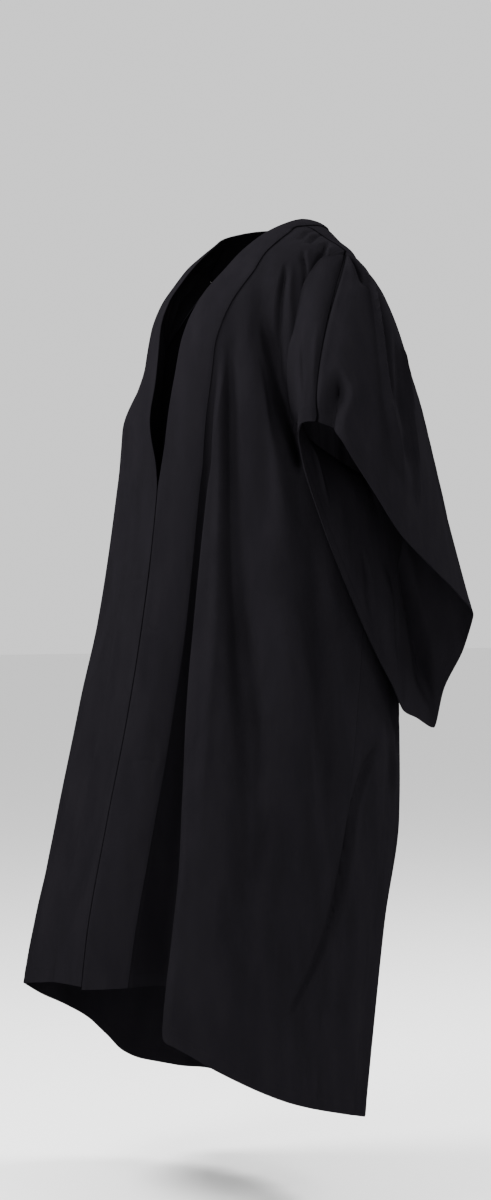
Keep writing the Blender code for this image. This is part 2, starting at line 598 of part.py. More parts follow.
def sleeve_points(turn, fall, side, stations=PANEL_STATIONS, gap=ARMHOLE_GAP):
    """Points of a sleeve: turn round it from its forearm seam, fall from the
    armhole (0) to the hem (1)."""
    sign = 1.0 if side == "left" else -1.0
    value = {name: look_up(SLEEVE, SLEEVE_NAMES, "turn", name, turn)
             for name in SLEEVE_NAMES[1:]}
    angles, drops, share = armhole_round(side, stations)
    head_angle = np.interp(value["head"], share, angles)
    head_drop = np.interp(value["head"], share, drops)
    edge = form(head_angle, head_drop)
    inside = form(head_angle + 0.02 * (sign * 90.0 - head_angle),
                  head_drop + 0.02 * (0.30 - head_drop))
    inward = inside - edge
    inward /= np.maximum(np.linalg.norm(inward, axis=-1, keepdims=True), 1e-9)
    head = edge + inward * gap
    shift_x, shift_y = ARM_SHIFT[side]
    hem = np.stack([sign * (value["x"] + shift_x), value["y"] + shift_y,
                    value["z"]], axis=-1)
    away = np.stack([sign * value["out"], np.zeros(turn.shape), -value["fall"]], axis=-1)
    into = np.stack([sign * value["lean_x"], value["lean_y"], value["rise"]], axis=-1)
    one, two = head + away, hem + into
    f = fall[..., None]
    return ((1 - f) ** 3 * head + 3 * (1 - f) ** 2 * f * one
            + 3 * (1 - f) * f ** 2 * two + f ** 3 * hem)


def sleeve_grid(side):
    # columns spaced half by turn and half by their share of the armhole
    fine = np.linspace(SLEEVE_SLIT, 1.0 - SLEEVE_SLIT, 400)
    pace = 0.45 * fine + 0.55 * look_up(SLEEVE, SLEEVE_NAMES, "turn", "head", fine)
    turn = np.interp(np.linspace(pace[0], pace[-1], SLEEVE_COLUMNS + 1), pace, fine)
    fall = (np.arange(SLEEVE_ROWS + 1) / SLEEVE_ROWS) ** 1.1
    turns, falls = np.meshgrid(turn, fall, indexing="xy")
    return sleeve_points(turns, falls, side)


# ------------------------------------------------------------- the build
def build():
    for thing in list(bpy.data.objects):
        bpy.data.objects.remove(thing, do_unlink=True)
    panels = [("band_" + side, band_grid(side), BAND_LIFT) for side in ("left", "right")]
    panels += [("front_" + side, front_grid(side), 0.0) for side in ("left", "right")]
    panels += [("back", back_grid(), 0.0), ("yoke", yoke_grid(), 0.0)]
    for name, (angle, drop), lift in panels:
        cloth_wall(name, form(angle, drop), form_normal(angle, drop), lift,
                   cloth_material("cloth_" + name))
    for side in ("left", "right"):
        points = sleeve_grid(side)
        sign = 1.0 if side == "left" else -1.0
        normal = normals_of(points, np.array([sign * 0.23, 0.0, -0.35]))
        cloth_wall("sleeve_" + side, points, normal, 0.0,
                   cloth_material("cloth_sleeve_" + side))


build()
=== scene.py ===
"""The looks of the graduation gown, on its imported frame.

The gown is eight shells of thin cloth on the same body form as the part: the
tables and functions that give the form, the panels' edges and the sleeves are
repeated here, then each panel is made again at the scale of the cloth, with
its creases, gathers, hems and stitches.
"""
import math

import bpy
import numpy as np
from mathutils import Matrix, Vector


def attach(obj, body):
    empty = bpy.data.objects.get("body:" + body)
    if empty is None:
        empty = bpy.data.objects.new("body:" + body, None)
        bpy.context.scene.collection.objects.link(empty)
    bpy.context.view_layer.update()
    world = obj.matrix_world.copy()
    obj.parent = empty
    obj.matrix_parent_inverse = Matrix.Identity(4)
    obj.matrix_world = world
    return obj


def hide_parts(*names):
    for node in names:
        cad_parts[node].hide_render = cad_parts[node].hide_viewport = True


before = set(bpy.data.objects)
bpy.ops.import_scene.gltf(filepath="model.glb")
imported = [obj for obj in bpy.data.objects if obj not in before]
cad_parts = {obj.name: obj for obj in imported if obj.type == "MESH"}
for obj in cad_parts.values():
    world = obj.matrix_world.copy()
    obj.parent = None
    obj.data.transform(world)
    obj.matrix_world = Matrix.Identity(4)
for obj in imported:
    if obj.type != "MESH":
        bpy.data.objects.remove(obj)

# ---------------------------------------------------------------- dimensions
WALL = 0.0020          # cloth wall
BAND_LIFT = 0.0032     # a band's middle stands this far off the front under it
UNDERLAP = 0.010       # how far a front or the yoke reaches under its band
SEAM_GAP = 0.0014      # gap between two panels sewn edge to edge
ARMHOLE_GAP = 0.0032   # gap between a sleeve's head and the armhole edge
NAPE_RISE = 0.002      # the back of the neck edge stands this much higher

# Rows of the fronts, bands and back, top to hem, closest round the armhole.
PANEL_STATIONS = (0.0, 0.012, 0.036, 0.066, 0.102, 0.142, 0.182, 0.216, 0.250,
                  0.284, 0.316, 0.350, 0.420, 0.490, 0.570, 0.660, 0.770,
                  0.880, 1.0)
FRONT_COLUMNS = 15
BACK_COLUMNS = 36
YOKE_ROWS = 4
SHOULDER_COLUMNS = 7   # yoke columns along each shoulder seam
SLEEVE_ROWS = 10
SLEEVE_COLUMNS = 30

# The body form: horizontal rings.  front and back are Y at the centre front
# and centre back, centre is the ring's own Y, square_front and square_back
# are how boxy its halves are (2 is an ellipse).
FORM_COLUMNS = ("drop", "z", "half_width", "front", "back", "centre",
                "square_front", "square_back")
FORM = (
    (0.000, -0.011, 0.066, -0.050, 0.066, 0.005, 2.00, 2.00),
    (0.025, -0.017, 0.088, -0.049, 0.074, 0.005, 2.00, 1.85),
    (0.065, -0.031, 0.123, -0.056, 0.080, 0.005, 2.00, 1.65),
    (0.110, -0.053, 0.159, -0.080, 0.084, 0.005, 2.00, 1.60),
    (0.148, -0.073, 0.187, -0.101, 0.099, 0.005, 2.00, 1.65),
    (0.180, -0.098, 0.196, -0.124, 0.113, 0.005, 2.00, 1.75),
    (0.220, -0.134, 0.201, -0.153, 0.127, 0.003, 2.00, 1.90),
    (0.260, -0.174, 0.204, -0.171, 0.137, 0.002, 2.00, 2.00),
    (0.310, -0.224, 0.207, -0.180, 0.144, 0.000, 2.05, 2.00),
    (0.400, -0.314, 0.212, -0.191, 0.150, 0.000, 2.10, 2.00),
    (0.460, -0.374, 0.217, -0.1925, 0.153, 0.000, 2.20, 2.00),
    (0.515, -0.429, 0.221, -0.1970, 0.155, -0.002, 2.30, 2.00),
    (0.700, -0.614, 0.236, -0.2215, 0.168, -0.012, 2.60, 2.00),
    (0.830, -0.744, 0.249, -0.2450, 0.178, -0.030, 3.00, 2.00),
    (0.990, -0.904, 0.262, -0.2810, 0.177, -0.055, 3.10, 2.00),
    (1.150, -1.064, 0.273, -0.3130, 0.150, -0.085, 3.30, 2.00),
    (1.230, -1.144, 0.277, -0.3225, 0.139, -0.100, 3.50, 2.00),
    (1.450, -1.364, 0.285, -0.3450, 0.110, -0.122, 3.50, 2.00),
)

# The hem's height, by how far forward the form is there.
HEM_COLUMNS = ("y", "left", "right")
HEM = (
    (-0.3450, -1.143, -1.133),
    (-0.3225, -1.143, -1.133),
    (-0.3214, -1.133, -1.144),
    (-0.3165, -1.137, -1.154),
    (-0.3110, -1.158, -1.159),
    (-0.3060, -1.186, -1.162),
    (-0.2980, -1.190, -1.166),
    (-0.2876, -1.197, -1.173),
    (-0.2560, -1.219, -1.196),
    (-0.1580, -1.270, -1.244),
    (-0.1240, -1.282, -1.276),
    (-0.1000, -1.289, -1.302),
    (-0.0670, -1.298, -1.318),
    (0.0700, -1.340, -1.340),
    (0.1300, -1.362, -1.362),
)

# The bands from shoulder to hem: outer edge (the band seam) and inner edge
# (the opening, then the centre front).
BAND_COLUMNS = ("outer_drop", "outer_angle", "inner_drop", "inner_angle")
BAND = (
    (0.0615, 82.0, 0.012, 90.0),
    (0.0640, 76.5, 0.022, 83.0),
    (0.086, 69.0, 0.046, 69.0),
    (0.110, 62.0, 0.085, 48.0),
    (0.134, 56.5, 0.115, 38.0),
    (0.158, 51.5, 0.143, 32.0),
    (0.184, 47.5, 0.172, 26.5),
    (0.212, 42.5, 0.202, 20.6),
    (0.236, 38.0, 0.229, 16.6),
    (0.265, 34.3, 0.261, 12.9),
    (0.291, 32.3, 0.289, 10.4),
    (0.340, 31.0, 0.340, 8.3),
    (0.434, 27.3, 0.434, 4.4),
    (0.475, 26.2, 0.475, 1.7),
    (0.505, 25.0, 0.505, 0.40),
    (0.725, 21.2, 0.725, 0.30),
    (0.945, 19.9, 0.945, 0.30),
    (1.085, 20.3, 1.085, 0.30),
    (1.450, 20.6, 1.450, 0.30),
)
# The bands round the neck, from the shoulder seam to the centre back.
NECK_COLUMNS = ("along", "outer_angle", "outer_drop", "inner_angle", "inner_drop")
NECK = (
    (0.00, 82.0, 0.0615, 90.0, 0.012),
    (0.20, 94.0, 0.057, 101.0, 0.004),
    (0.45, 115.0, 0.056, 118.0, 0.000),
    (1.00, 179.6, 0.054, 179.6, 0.000),
)
# The yoke's outer edge: the shoulder seam, the shoulder point, the back
# of the armhole, then the back seam.
YOKE_COLUMNS = ("along", "angle", "drop")
YOKE = (
    (0.00, 82.2, 0.065),
    (0.04, 84.0, 0.074),
    (0.09, 85.6, 0.094),
    (0.14, 87.6, 0.120),
    (0.20, 91.0, 0.148),
    (0.30, 98.0, 0.168),
    (0.38, 105.0, 0.190),
    (0.60, 130.0, 0.198),
    (1.00, 180.0, 0.214),
)
# A front's side edge: armhole from the shoulder point, then the side seam.
SIDE_COLUMNS = ("along", "front_angle", "front_drop", "back_angle", "back_drop")
SIDE = (
    (0.00, 91.0, 0.150, 105.0, 0.192),
    (0.03, 79.0, 0.170, 108.5, 0.220),
    (0.07, 70.5, 0.215, 111.5, 0.260),
    (0.12, 66.5, 0.275, 112.5, 0.320),
    (0.17, 64.2, 0.336, 111.0, 0.375),
    (0.21, 65.2, 0.385, 107.0, 0.418),
    (0.25, 69.5, 0.424, 102.5, 0.446),
    (0.29, 78.5, 0.453, 98.0, 0.464),
    (0.32, 87.0, 0.472, 96.2, 0.475),
    (0.35, 95.1, 0.490, 95.4, 0.490),
    (1.00, 92.0, 1.000, 92.0, 1.000),
)

# The left band falls back from the centre front and the left front makes one
# deep inverted fold beside it: its near wall, its bottom and its far ridge.
INVERTED_COLUMNS = ("drop", "set_back", "bottom_turn", "bottom", "ridge_turn")
INVERTED = {
    "left": (
        (0.300, 0.000, 2.0, 0.000, 6.0),
        (0.400, -0.007, 2.2, -0.011, 6.5),
        (0.495, -0.0155, 2.5, -0.024, 7.5),
        (0.725, -0.032, 3.8, -0.052, 11.5),
        (0.830, -0.037, 6.0, -0.070, 15.5),
        (0.945, -0.041, 8.6, -0.090, 20.5),
        (1.085, -0.040, 11.6, -0.104, 25.0),
        (1.450, -0.032, 14.0, -0.122, 29.5),
    ),
    "right": (
        (0.300, 0.000, 3.0, 0.000, 10.0),
        (0.725, -0.002, 14.0, -0.006, 30.0),
        (1.450, -0.004, 20.0, -0.020, 44.0),
    ),
}

# Soft folds and flutes, as troughs (-) and ridges (+) along the form.
FOLD_COLUMNS = ("name", "top", "foot", "angle_top", "angle_foot",
                "width_top", "width_foot", "depth_top", "depth_foot")
FOLDS = (
    # left front
    ("armpit valley", 0.20, 0.56, 53.0, 60.0, 5.0, 8.0, -0.007, -0.014),
    ("breast fold", 0.26, 0.90, 40.0, 58.0, 5.0, 7.0, -0.005, -0.011),
    ("hip swell", 0.60, 1.45, 66.0, 66.0, 12.0, 12.0, 0.006, 0.010),
    ("side step", 0.86, 1.30, 103.0, 80.0, 4.0, 5.0, -0.008, -0.006),
    # right front
    ("armpit valley", 0.20, 0.56, -53.0, -60.0, 5.0, 8.0, -0.007, -0.014),
    ("front flute", 0.46, 1.45, -58.0, -66.0, 6.0, 8.0, -0.005, -0.018),
    ("side flute", 0.56, 1.45, -84.0, -84.0, 7.0, 9.0, 0.004, 0.012),
    ("centre swell", 0.38, 0.46, -5.0, -4.0, 7.0, 7.0, 0.010, 0.004),
    ("hanging swell", 0.36, 1.45, -38.0, -38.0, 13.0, 14.0, 0.027, 0.022),
    ("hem flare", 1.08, 1.45, -45.0, -45.0, 11.0, 11.0, 0.000, 0.022),
    # back flutes
    ("flute", 0.19, 1.45, 122.0, 116.0, 4.5, 6.5, -0.004, -0.013),
    ("flute", 0.20, 1.45, 137.0, 132.0, 4.5, 7.0, -0.005, -0.021),
    ("flute", 0.20, 1.45, 150.0, 149.0, 4.5, 6.5, -0.005, -0.017),
    ("flute", 0.21, 1.45, 163.0, 165.0, 4.5, 7.0, -0.006, -0.024),
    ("flute", 0.21, 1.45, 176.0, 181.0, 4.5, 6.5, -0.005, -0.019),
    ("flute", 0.21, 1.45, -171.0, -163.0, 4.5, 7.0, -0.006, -0.023),
    ("flute", 0.20, 1.45, -157.0, -147.0, 4.5, 6.5, -0.005, -0.018),
    ("flute", 0.20, 1.45, -143.0, -131.0, 4.5, 7.0, -0.005, -0.022),
    ("flute", 0.19, 1.45, -127.0, -113.0, 4.5, 6.5, -0.004, -0.014),
)

# The left sleeve, by turn round it from the forearm seam over the outside to
# the back fold, the hanging point and the inside.  head is how far round the
# armhole that line starts, x y z is where it meets the hem; out and fall lead
# it off the armhole, rise, lean_x and lean_y lead it into the hem.
SLEEVE_NAMES = ("turn", "head", "x", "y", "z",
                "out", "fall", "rise", "lean_x", "lean_y")
SLEEVE = (
    (0.00, 0.000, 0.275, -0.103, -0.331, 0.020, 0.010, 0.130, -0.012, 0.004),
    (0.05, 0.012, 0.303, -0.092, -0.343, 0.044, 0.006, 0.130, -0.012, 0.014),
    (0.10, 0.025, 0.322, -0.070, -0.387, 0.064, 0.008, 0.160, -0.012, 0.014),
    (0.15, 0.040, 0.333, -0.035, -0.441, 0.074, 0.008, 0.190, -0.012, 0.008),
    (0.20, 0.060, 0.335, 0.010, -0.497, 0.080, 0.010, 0.220, -0.014, 0.000),
    (0.26, 0.085, 0.316, 0.072, -0.536, 0.082, 0.014, 0.230, -0.012, -0.010),
    (0.32, 0.120, 0.286, 0.140, -0.573, 0.075, 0.020, 0.215, -0.012, -0.042),
    (0.38, 0.170, 0.250, 0.193, -0.606, 0.068, 0.030, 0.210, -0.004, -0.072),
    (0.43, 0.235, 0.218, 0.202, -0.650, 0.055, 0.045, 0.190, 0.002, -0.070),
    (0.48, 0.305, 0.196, 0.181, -0.712, 0.052, 0.045, 0.190, 0.006, -0.050),
    (0.53, 0.370, 0.187, 0.168, -0.770, 0.050, 0.045, 0.180, 0.012, -0.040),
    (0.58, 0.425, 0.208, 0.122, -0.753, 0.048, 0.042, 0.160, 0.012, -0.024),
    (0.63, 0.470, 0.232, 0.083, -0.742, 0.046, 0.038, 0.140, 0.006, -0.012),
    (0.68, 0.515, 0.252, 0.040, -0.692, 0.044, 0.034, 0.110, 0.000, -0.004),
    (0.73, 0.560, 0.254, -0.015, -0.600, 0.040, 0.028, 0.080, 0.000, 0.000),
    (0.79, 0.615, 0.248, -0.070, -0.478, 0.042, 0.014, 0.050, -0.002, 0.004),
    (0.85, 0.680, 0.245, -0.103, -0.388, 0.040, 0.000, 0.020, -0.006, 0.004),
    (0.90, 0.760, 0.247, -0.112, -0.348, 0.032, 0.006, 0.025, -0.008, 0.004),
    (0.94, 0.840, 0.254, -0.112, -0.334, 0.024, 0.015, 0.050, -0.010, 0.006),
    (0.97, 0.930, 0.264, -0.108, -0.331, 0.018, 0.014, 0.100, -0.012, 0.006),
    (1.00, 1.000, 0.275, -0.103, -0.331, 0.020, 0.010, 0.130, -0.012, 0.004),
)
SLEEVE_SLIT = 0.0012   # turn left open at each edge of the forearm seam
# The right arm is held a little closer and further back than the left.
ARM_SHIFT = {"left": (0.0, 0.0), "right": (-0.012, 0.012)}

CLOTH_COLOUR = (0.012, 0.011, 0.014, 1.0)
CLOTH_ROUGHNESS = 0.62


# ------------------------------------------------------------- interpolation
def column(table, names, name):
    place = names.index(name)
    return np.array([row[place] for row in table], dtype=float)


def smooth(xs, ys, x):
    """Monotone cubic through the table's rows, held flat past its ends."""
    x = np.clip(np.asarray(x, dtype=float), xs[0], xs[-1])
    step = np.diff(xs)
    slope = np.diff(ys) / step
    tangent = np.empty(len(xs))
    tangent[0], tangent[-1] = slope[0], slope[-1]
    for i in range(1, len(xs) - 1):
        a, b = slope[i - 1], slope[i]
        if a * b <= 0.0:
            tangent[i] = 0.0
        else:
            w1 = 2.0 * step[i] + step[i - 1]
            w2 = step[i] + 2.0 * step[i - 1]
            tangent[i] = (w1 + w2) / (w1 / a + w2 / b)
    i = np.clip(np.searchsorted(xs, x, side="right") - 1, 0, len(xs) - 2)
    t = (x - xs[i]) / step[i]
    return ((2 * t ** 3 - 3 * t ** 2 + 1) * ys[i]
            + (t ** 3 - 2 * t ** 2 + t) * step[i] * tangent[i]
            + (-2 * t ** 3 + 3 * t ** 2) * ys[i + 1]
            + (t ** 3 - t ** 2) * step[i] * tangent[i + 1])


def look_up(table, names, key, name, at):
    return smooth(column(table, names, key), column(table, names, name), at)


def ease(t):
    t = np.clip(t, 0.0, 1.0)
    return t * t * (3.0 - 2.0 * t)


# ------------------------------------------------------------- the body form
def plain_ring(angle, drop):
    """X, Y, Z on the form with no folds, and the ring's centre Y."""
    a = np.radians(angle)
    s, c = np.sin(a), np.cos(a)
    width = look_up(FORM, FORM_COLUMNS, "drop", "half_width", drop)
    front = look_up(FORM, FORM_COLUMNS, "drop", "front", drop)
    back = look_up(FORM, FORM_COLUMNS, "drop", "back", drop)
    centre = look_up(FORM, FORM_COLUMNS, "drop", "centre", drop)
    square_front = look_up(FORM, FORM_COLUMNS, "drop", "square_front", drop)
    square_back = look_up(FORM, FORM_COLUMNS, "drop", "square_back", drop)
    z = look_up(FORM, FORM_COLUMNS, "drop", "z", drop)
    depth = np.where(c > 0.0, centre - front, back - centre)
    power = np.where(c > 0.0, square_front, square_back)
    radius = ((np.abs(s) / width) ** power
              + (np.abs(c) / depth) ** power) ** (-1.0 / power)
    z = z + NAPE_RISE * np.clip(-c, 0.0, 1.0) * np.exp(-(drop / 0.06) ** 2)
    return radius, s, c, centre, z


def inverted_fold(angle, drop, side):
    """How far the band and the deep fold beside it stand back."""
    table = INVERTED[side]
    seam = look_up(BAND, BAND_COLUMNS, "outer_drop", "outer_angle",
                   np.maximum(drop, 0.213))
    set_back = look_up(table, INVERTED_COLUMNS, "drop", "set_back", drop)
    bottom = look_up(table, INVERTED_COLUMNS, "drop", "bottom", drop)
    turn = seam + look_up(table, INVERTED_COLUMNS, "drop", "bottom_turn", drop)
    ridge = seam + look_up(table, INVERTED_COLUMNS, "drop", "ridge_turn", drop)
    t = np.abs(angle)
    on_band = set_back * (np.clip(t / seam, 0.0, 1.0)) ** 1.35
    inside = np.clip((t - seam) / (turn - seam), 0.0, 1.0)
    inward = set_back + (bottom - set_back) * (1.0 - (1.0 - inside) ** 2)
    outward = bottom * (1.0 - ease((t - turn) / (ridge - turn)))
    return np.where(t < seam, on_band, np.where(t < turn, inward, outward))


def soft_folds(angle, drop):
    total = np.zeros(np.broadcast(angle, drop).shape)
    for (_name, top, foot, angle_top, angle_foot, width_top, width_foot,
         depth_top, depth_foot) in FOLDS:
        t = np.clip((drop - top) / (foot - top), 0.0, 1.0)
        middle = angle_top + (angle_foot - angle_top) * t
        width = width_top + (width_foot - width_top) * t
        depth = depth_top + (depth_foot - depth_top) * t
        away = (angle - middle + 180.0) % 360.0 - 180.0
        fade = ease((drop - top + 0.05) / 0.10)
        if foot < 1.40:
            fade = fade * ease((foot + 0.06 - drop) / 0.12)
        total = total + depth * fade * np.exp(-(away / width) ** 2)
    return total


def form(angle, drop):
    """Points of the body form, folds and all; angle may pass 180."""
    angle = (np.asarray(angle, dtype=float) + 180.0) % 360.0 - 180.0
    drop = np.asarray(drop, dtype=float)
    radius, s, c, centre, z = plain_ring(angle, drop)
    fold = np.where(angle >= 0.0, inverted_fold(angle, drop, "left"),
                    inverted_fold(angle, drop, "right"))
    radius = radius + fold + soft_folds(angle, drop)
    return np.stack([radius * s, centre - radius * c, z], axis=-1)


def form_normal(angle, drop):
    """Unit normals of the form, outward, the same for every panel there."""
    turn, fall = 0.4, 0.002
    across = form(angle + turn, drop) - form(angle - turn, drop)
    down = (form(angle, drop + fall)
            - form(angle, np.maximum(drop - fall, 0.0)))
    normal = np.cross(down, across)
    return normal / np.maximum(np.linalg.norm(normal, axis=-1, keepdims=True), 1e-12)


def hem_drop(angle):
    """The drop at which the hem comes, at each angle."""
    angle = (np.asarray(angle, dtype=float) + 180.0) % 360.0 - 180.0
    drop = np.full(angle.shape, 1.33)
    for _ in range(12):
        radius, _s, c, centre, _z = plain_ring(angle, drop)
        y = centre - radius * c
        z = np.where(angle >= 0.0,
                     look_up(HEM, HEM_COLUMNS, "y", "left", y),
                     look_up(HEM, HEM_COLUMNS, "y", "right", y))
        drop = 0.5 * drop + 0.5 * (0.086 - z)
    return drop


# ------------------------------------------------------------- the panels
def side_edge(v, panel, sign):
    """A front's or the back's side edge: the armhole, then the side seam."""
    angle = look_up(SIDE, SIDE_COLUMNS, "along", panel + "_angle", v)
    drop = look_up(SIDE, SIDE_COLUMNS, "along", panel + "_drop", v)
    start, end = SIDE[-2], SIDE[-1]
    place = SIDE_COLUMNS.index(panel + "_angle")
    hem = hem_drop(np.full(v.shape, sign * end[place]))
    t = (v - start[0]) / (end[0] - start[0])
    seam_angle = start[place] + (end[place] - start[place]) * t
    seam_drop = start[place + 1] + (hem - start[place + 1]) * t
    half_gap = np.degrees(SEAM_GAP / 2 / 0.2) * (1.0 if panel == "back" else -1.0)
    return (np.where(t < 0.0, angle, seam_angle) + half_gap,
            np.where(t < 0.0, drop, seam_drop))


def band_edges(v, side):
    """Outer and inner band edge (angle, drop) at row parameter v."""
    sign = 1.0 if side == "left" else -1.0
    top = BAND[0][0]
    outer_hem = hem_drop(np.full(v.shape, sign * BAND[-1][1]))
    outer_drop = top + (outer_hem - top) * v
    outer_angle = look_up(BAND, BAND_COLUMNS, "outer_drop", "outer_angle", outer_drop)
    inner_drop = look_up(BAND, BAND_COLUMNS, "outer_drop", "inner_drop", outer_drop)
    inner_angle = look_up(BAND, BAND_COLUMNS, "outer_drop", "inner_angle", outer_drop)
    inner_hem = hem_drop(np.full(v.shape, sign * BAND[-1][3]))
    inner_drop = inner_drop + (inner_hem - outer_hem) * ease((outer_drop - 0.9) / (outer_hem - 0.9))
    return outer_angle, outer_drop, inner_angle, inner_drop


# ------------------------------------------------------------- the sleeves
def armhole_round(side, stations):
    """The armhole's edge on the form, from the shoulder point over the back,
    under the arm and up the front: angle, drop and share of its length."""
    over = np.linspace(0.20, 0.38, 4 if len(stations) < 30 else 40)
    angle = [look_up(YOKE, YOKE_COLUMNS, "along", "angle", over)]
    drop = [look_up(YOKE, YOKE_COLUMNS, "along", "drop", over)]
    rows = np.array([v for v in stations if v < 0.345])
    down = rows[1:]
    angle.append(look_up(SIDE, SIDE_COLUMNS, "along", "back_angle", down))
    drop.append(look_up(SIDE, SIDE_COLUMNS, "along", "back_drop", down))
    up = rows[::-1]
    angle.append(look_up(SIDE, SIDE_COLUMNS, "along", "front_angle", up))
    drop.append(look_up(SIDE, SIDE_COLUMNS, "along", "front_drop", up))
    angle, drop = np.concatenate(angle), np.concatenate(drop)
    sign = 1.0 if side == "left" else -1.0
    points = form(sign * angle, drop)
    steps = np.linalg.norm(np.diff(points, axis=0), axis=1)
    share = np.concatenate([[0.0], np.cumsum(steps)])
    return sign * angle, drop, share / share[-1]


def sleeve_points(turn, fall, side, stations=PANEL_STATIONS, gap=ARMHOLE_GAP):
    """Points of a sleeve: turn round it from its forearm seam, fall from the
    armhole (0) to the hem (1)."""
    sign = 1.0 if side == "left" else -1.0
    value = {name: look_up(SLEEVE, SLEEVE_NAMES, "turn", name, turn)
             for name in SLEEVE_NAMES[1:]}
    angles, drops, share = armhole_round(side, stations)
    head_angle = np.interp(value["head"], share, angles)
    head_drop = np.interp(value["head"], share, drops)
    edge = form(head_angle, head_drop)
    inside = form(head_angle + 0.02 * (sign * 90.0 - head_angle),
                  head_drop + 0.02 * (0.30 - head_drop))
    inward = inside - edge
    inward /= np.maximum(np.linalg.norm(inward, axis=-1, keepdims=True), 1e-9)
    head = edge + inward * gap
    shift_x, shift_y = ARM_SHIFT[side]
    hem = np.stack([sign * (value["x"] + shift_x), value["y"] + shift_y,
                    value["z"]], axis=-1)
    away = np.stack([sign * value["out"], np.zeros(turn.shape), -value["fall"]], axis=-1)
    into = np.stack([sign * value["lean_x"], value["lean_y"], value["rise"]], axis=-1)
    one, two = head + away, hem + into
    f = fall[..., None]
    return ((1 - f) ** 3 * head + 3 * (1 - f) ** 2 * f * one
            + 3 * (1 - f) * f ** 2 * two + f ** 3 * hem)


# ================================================================ fine cloth
# The panels again at the scale of the cloth, on the same form and edges.
PLY = 0.0009           # visible thickness of one layer of cloth
BAND_PLY = 0.0022      # a band is two layers with interfacing
BAND_RAISE = 0.0019    # its middle stands this far off the front
SEAM_FINE = -0.0004    # two sewn edges just cover each other
HEM_DEPTH = 0.022      # turned-up hem
HEM_EXTRA = 0.0007     # how much thicker the hem is

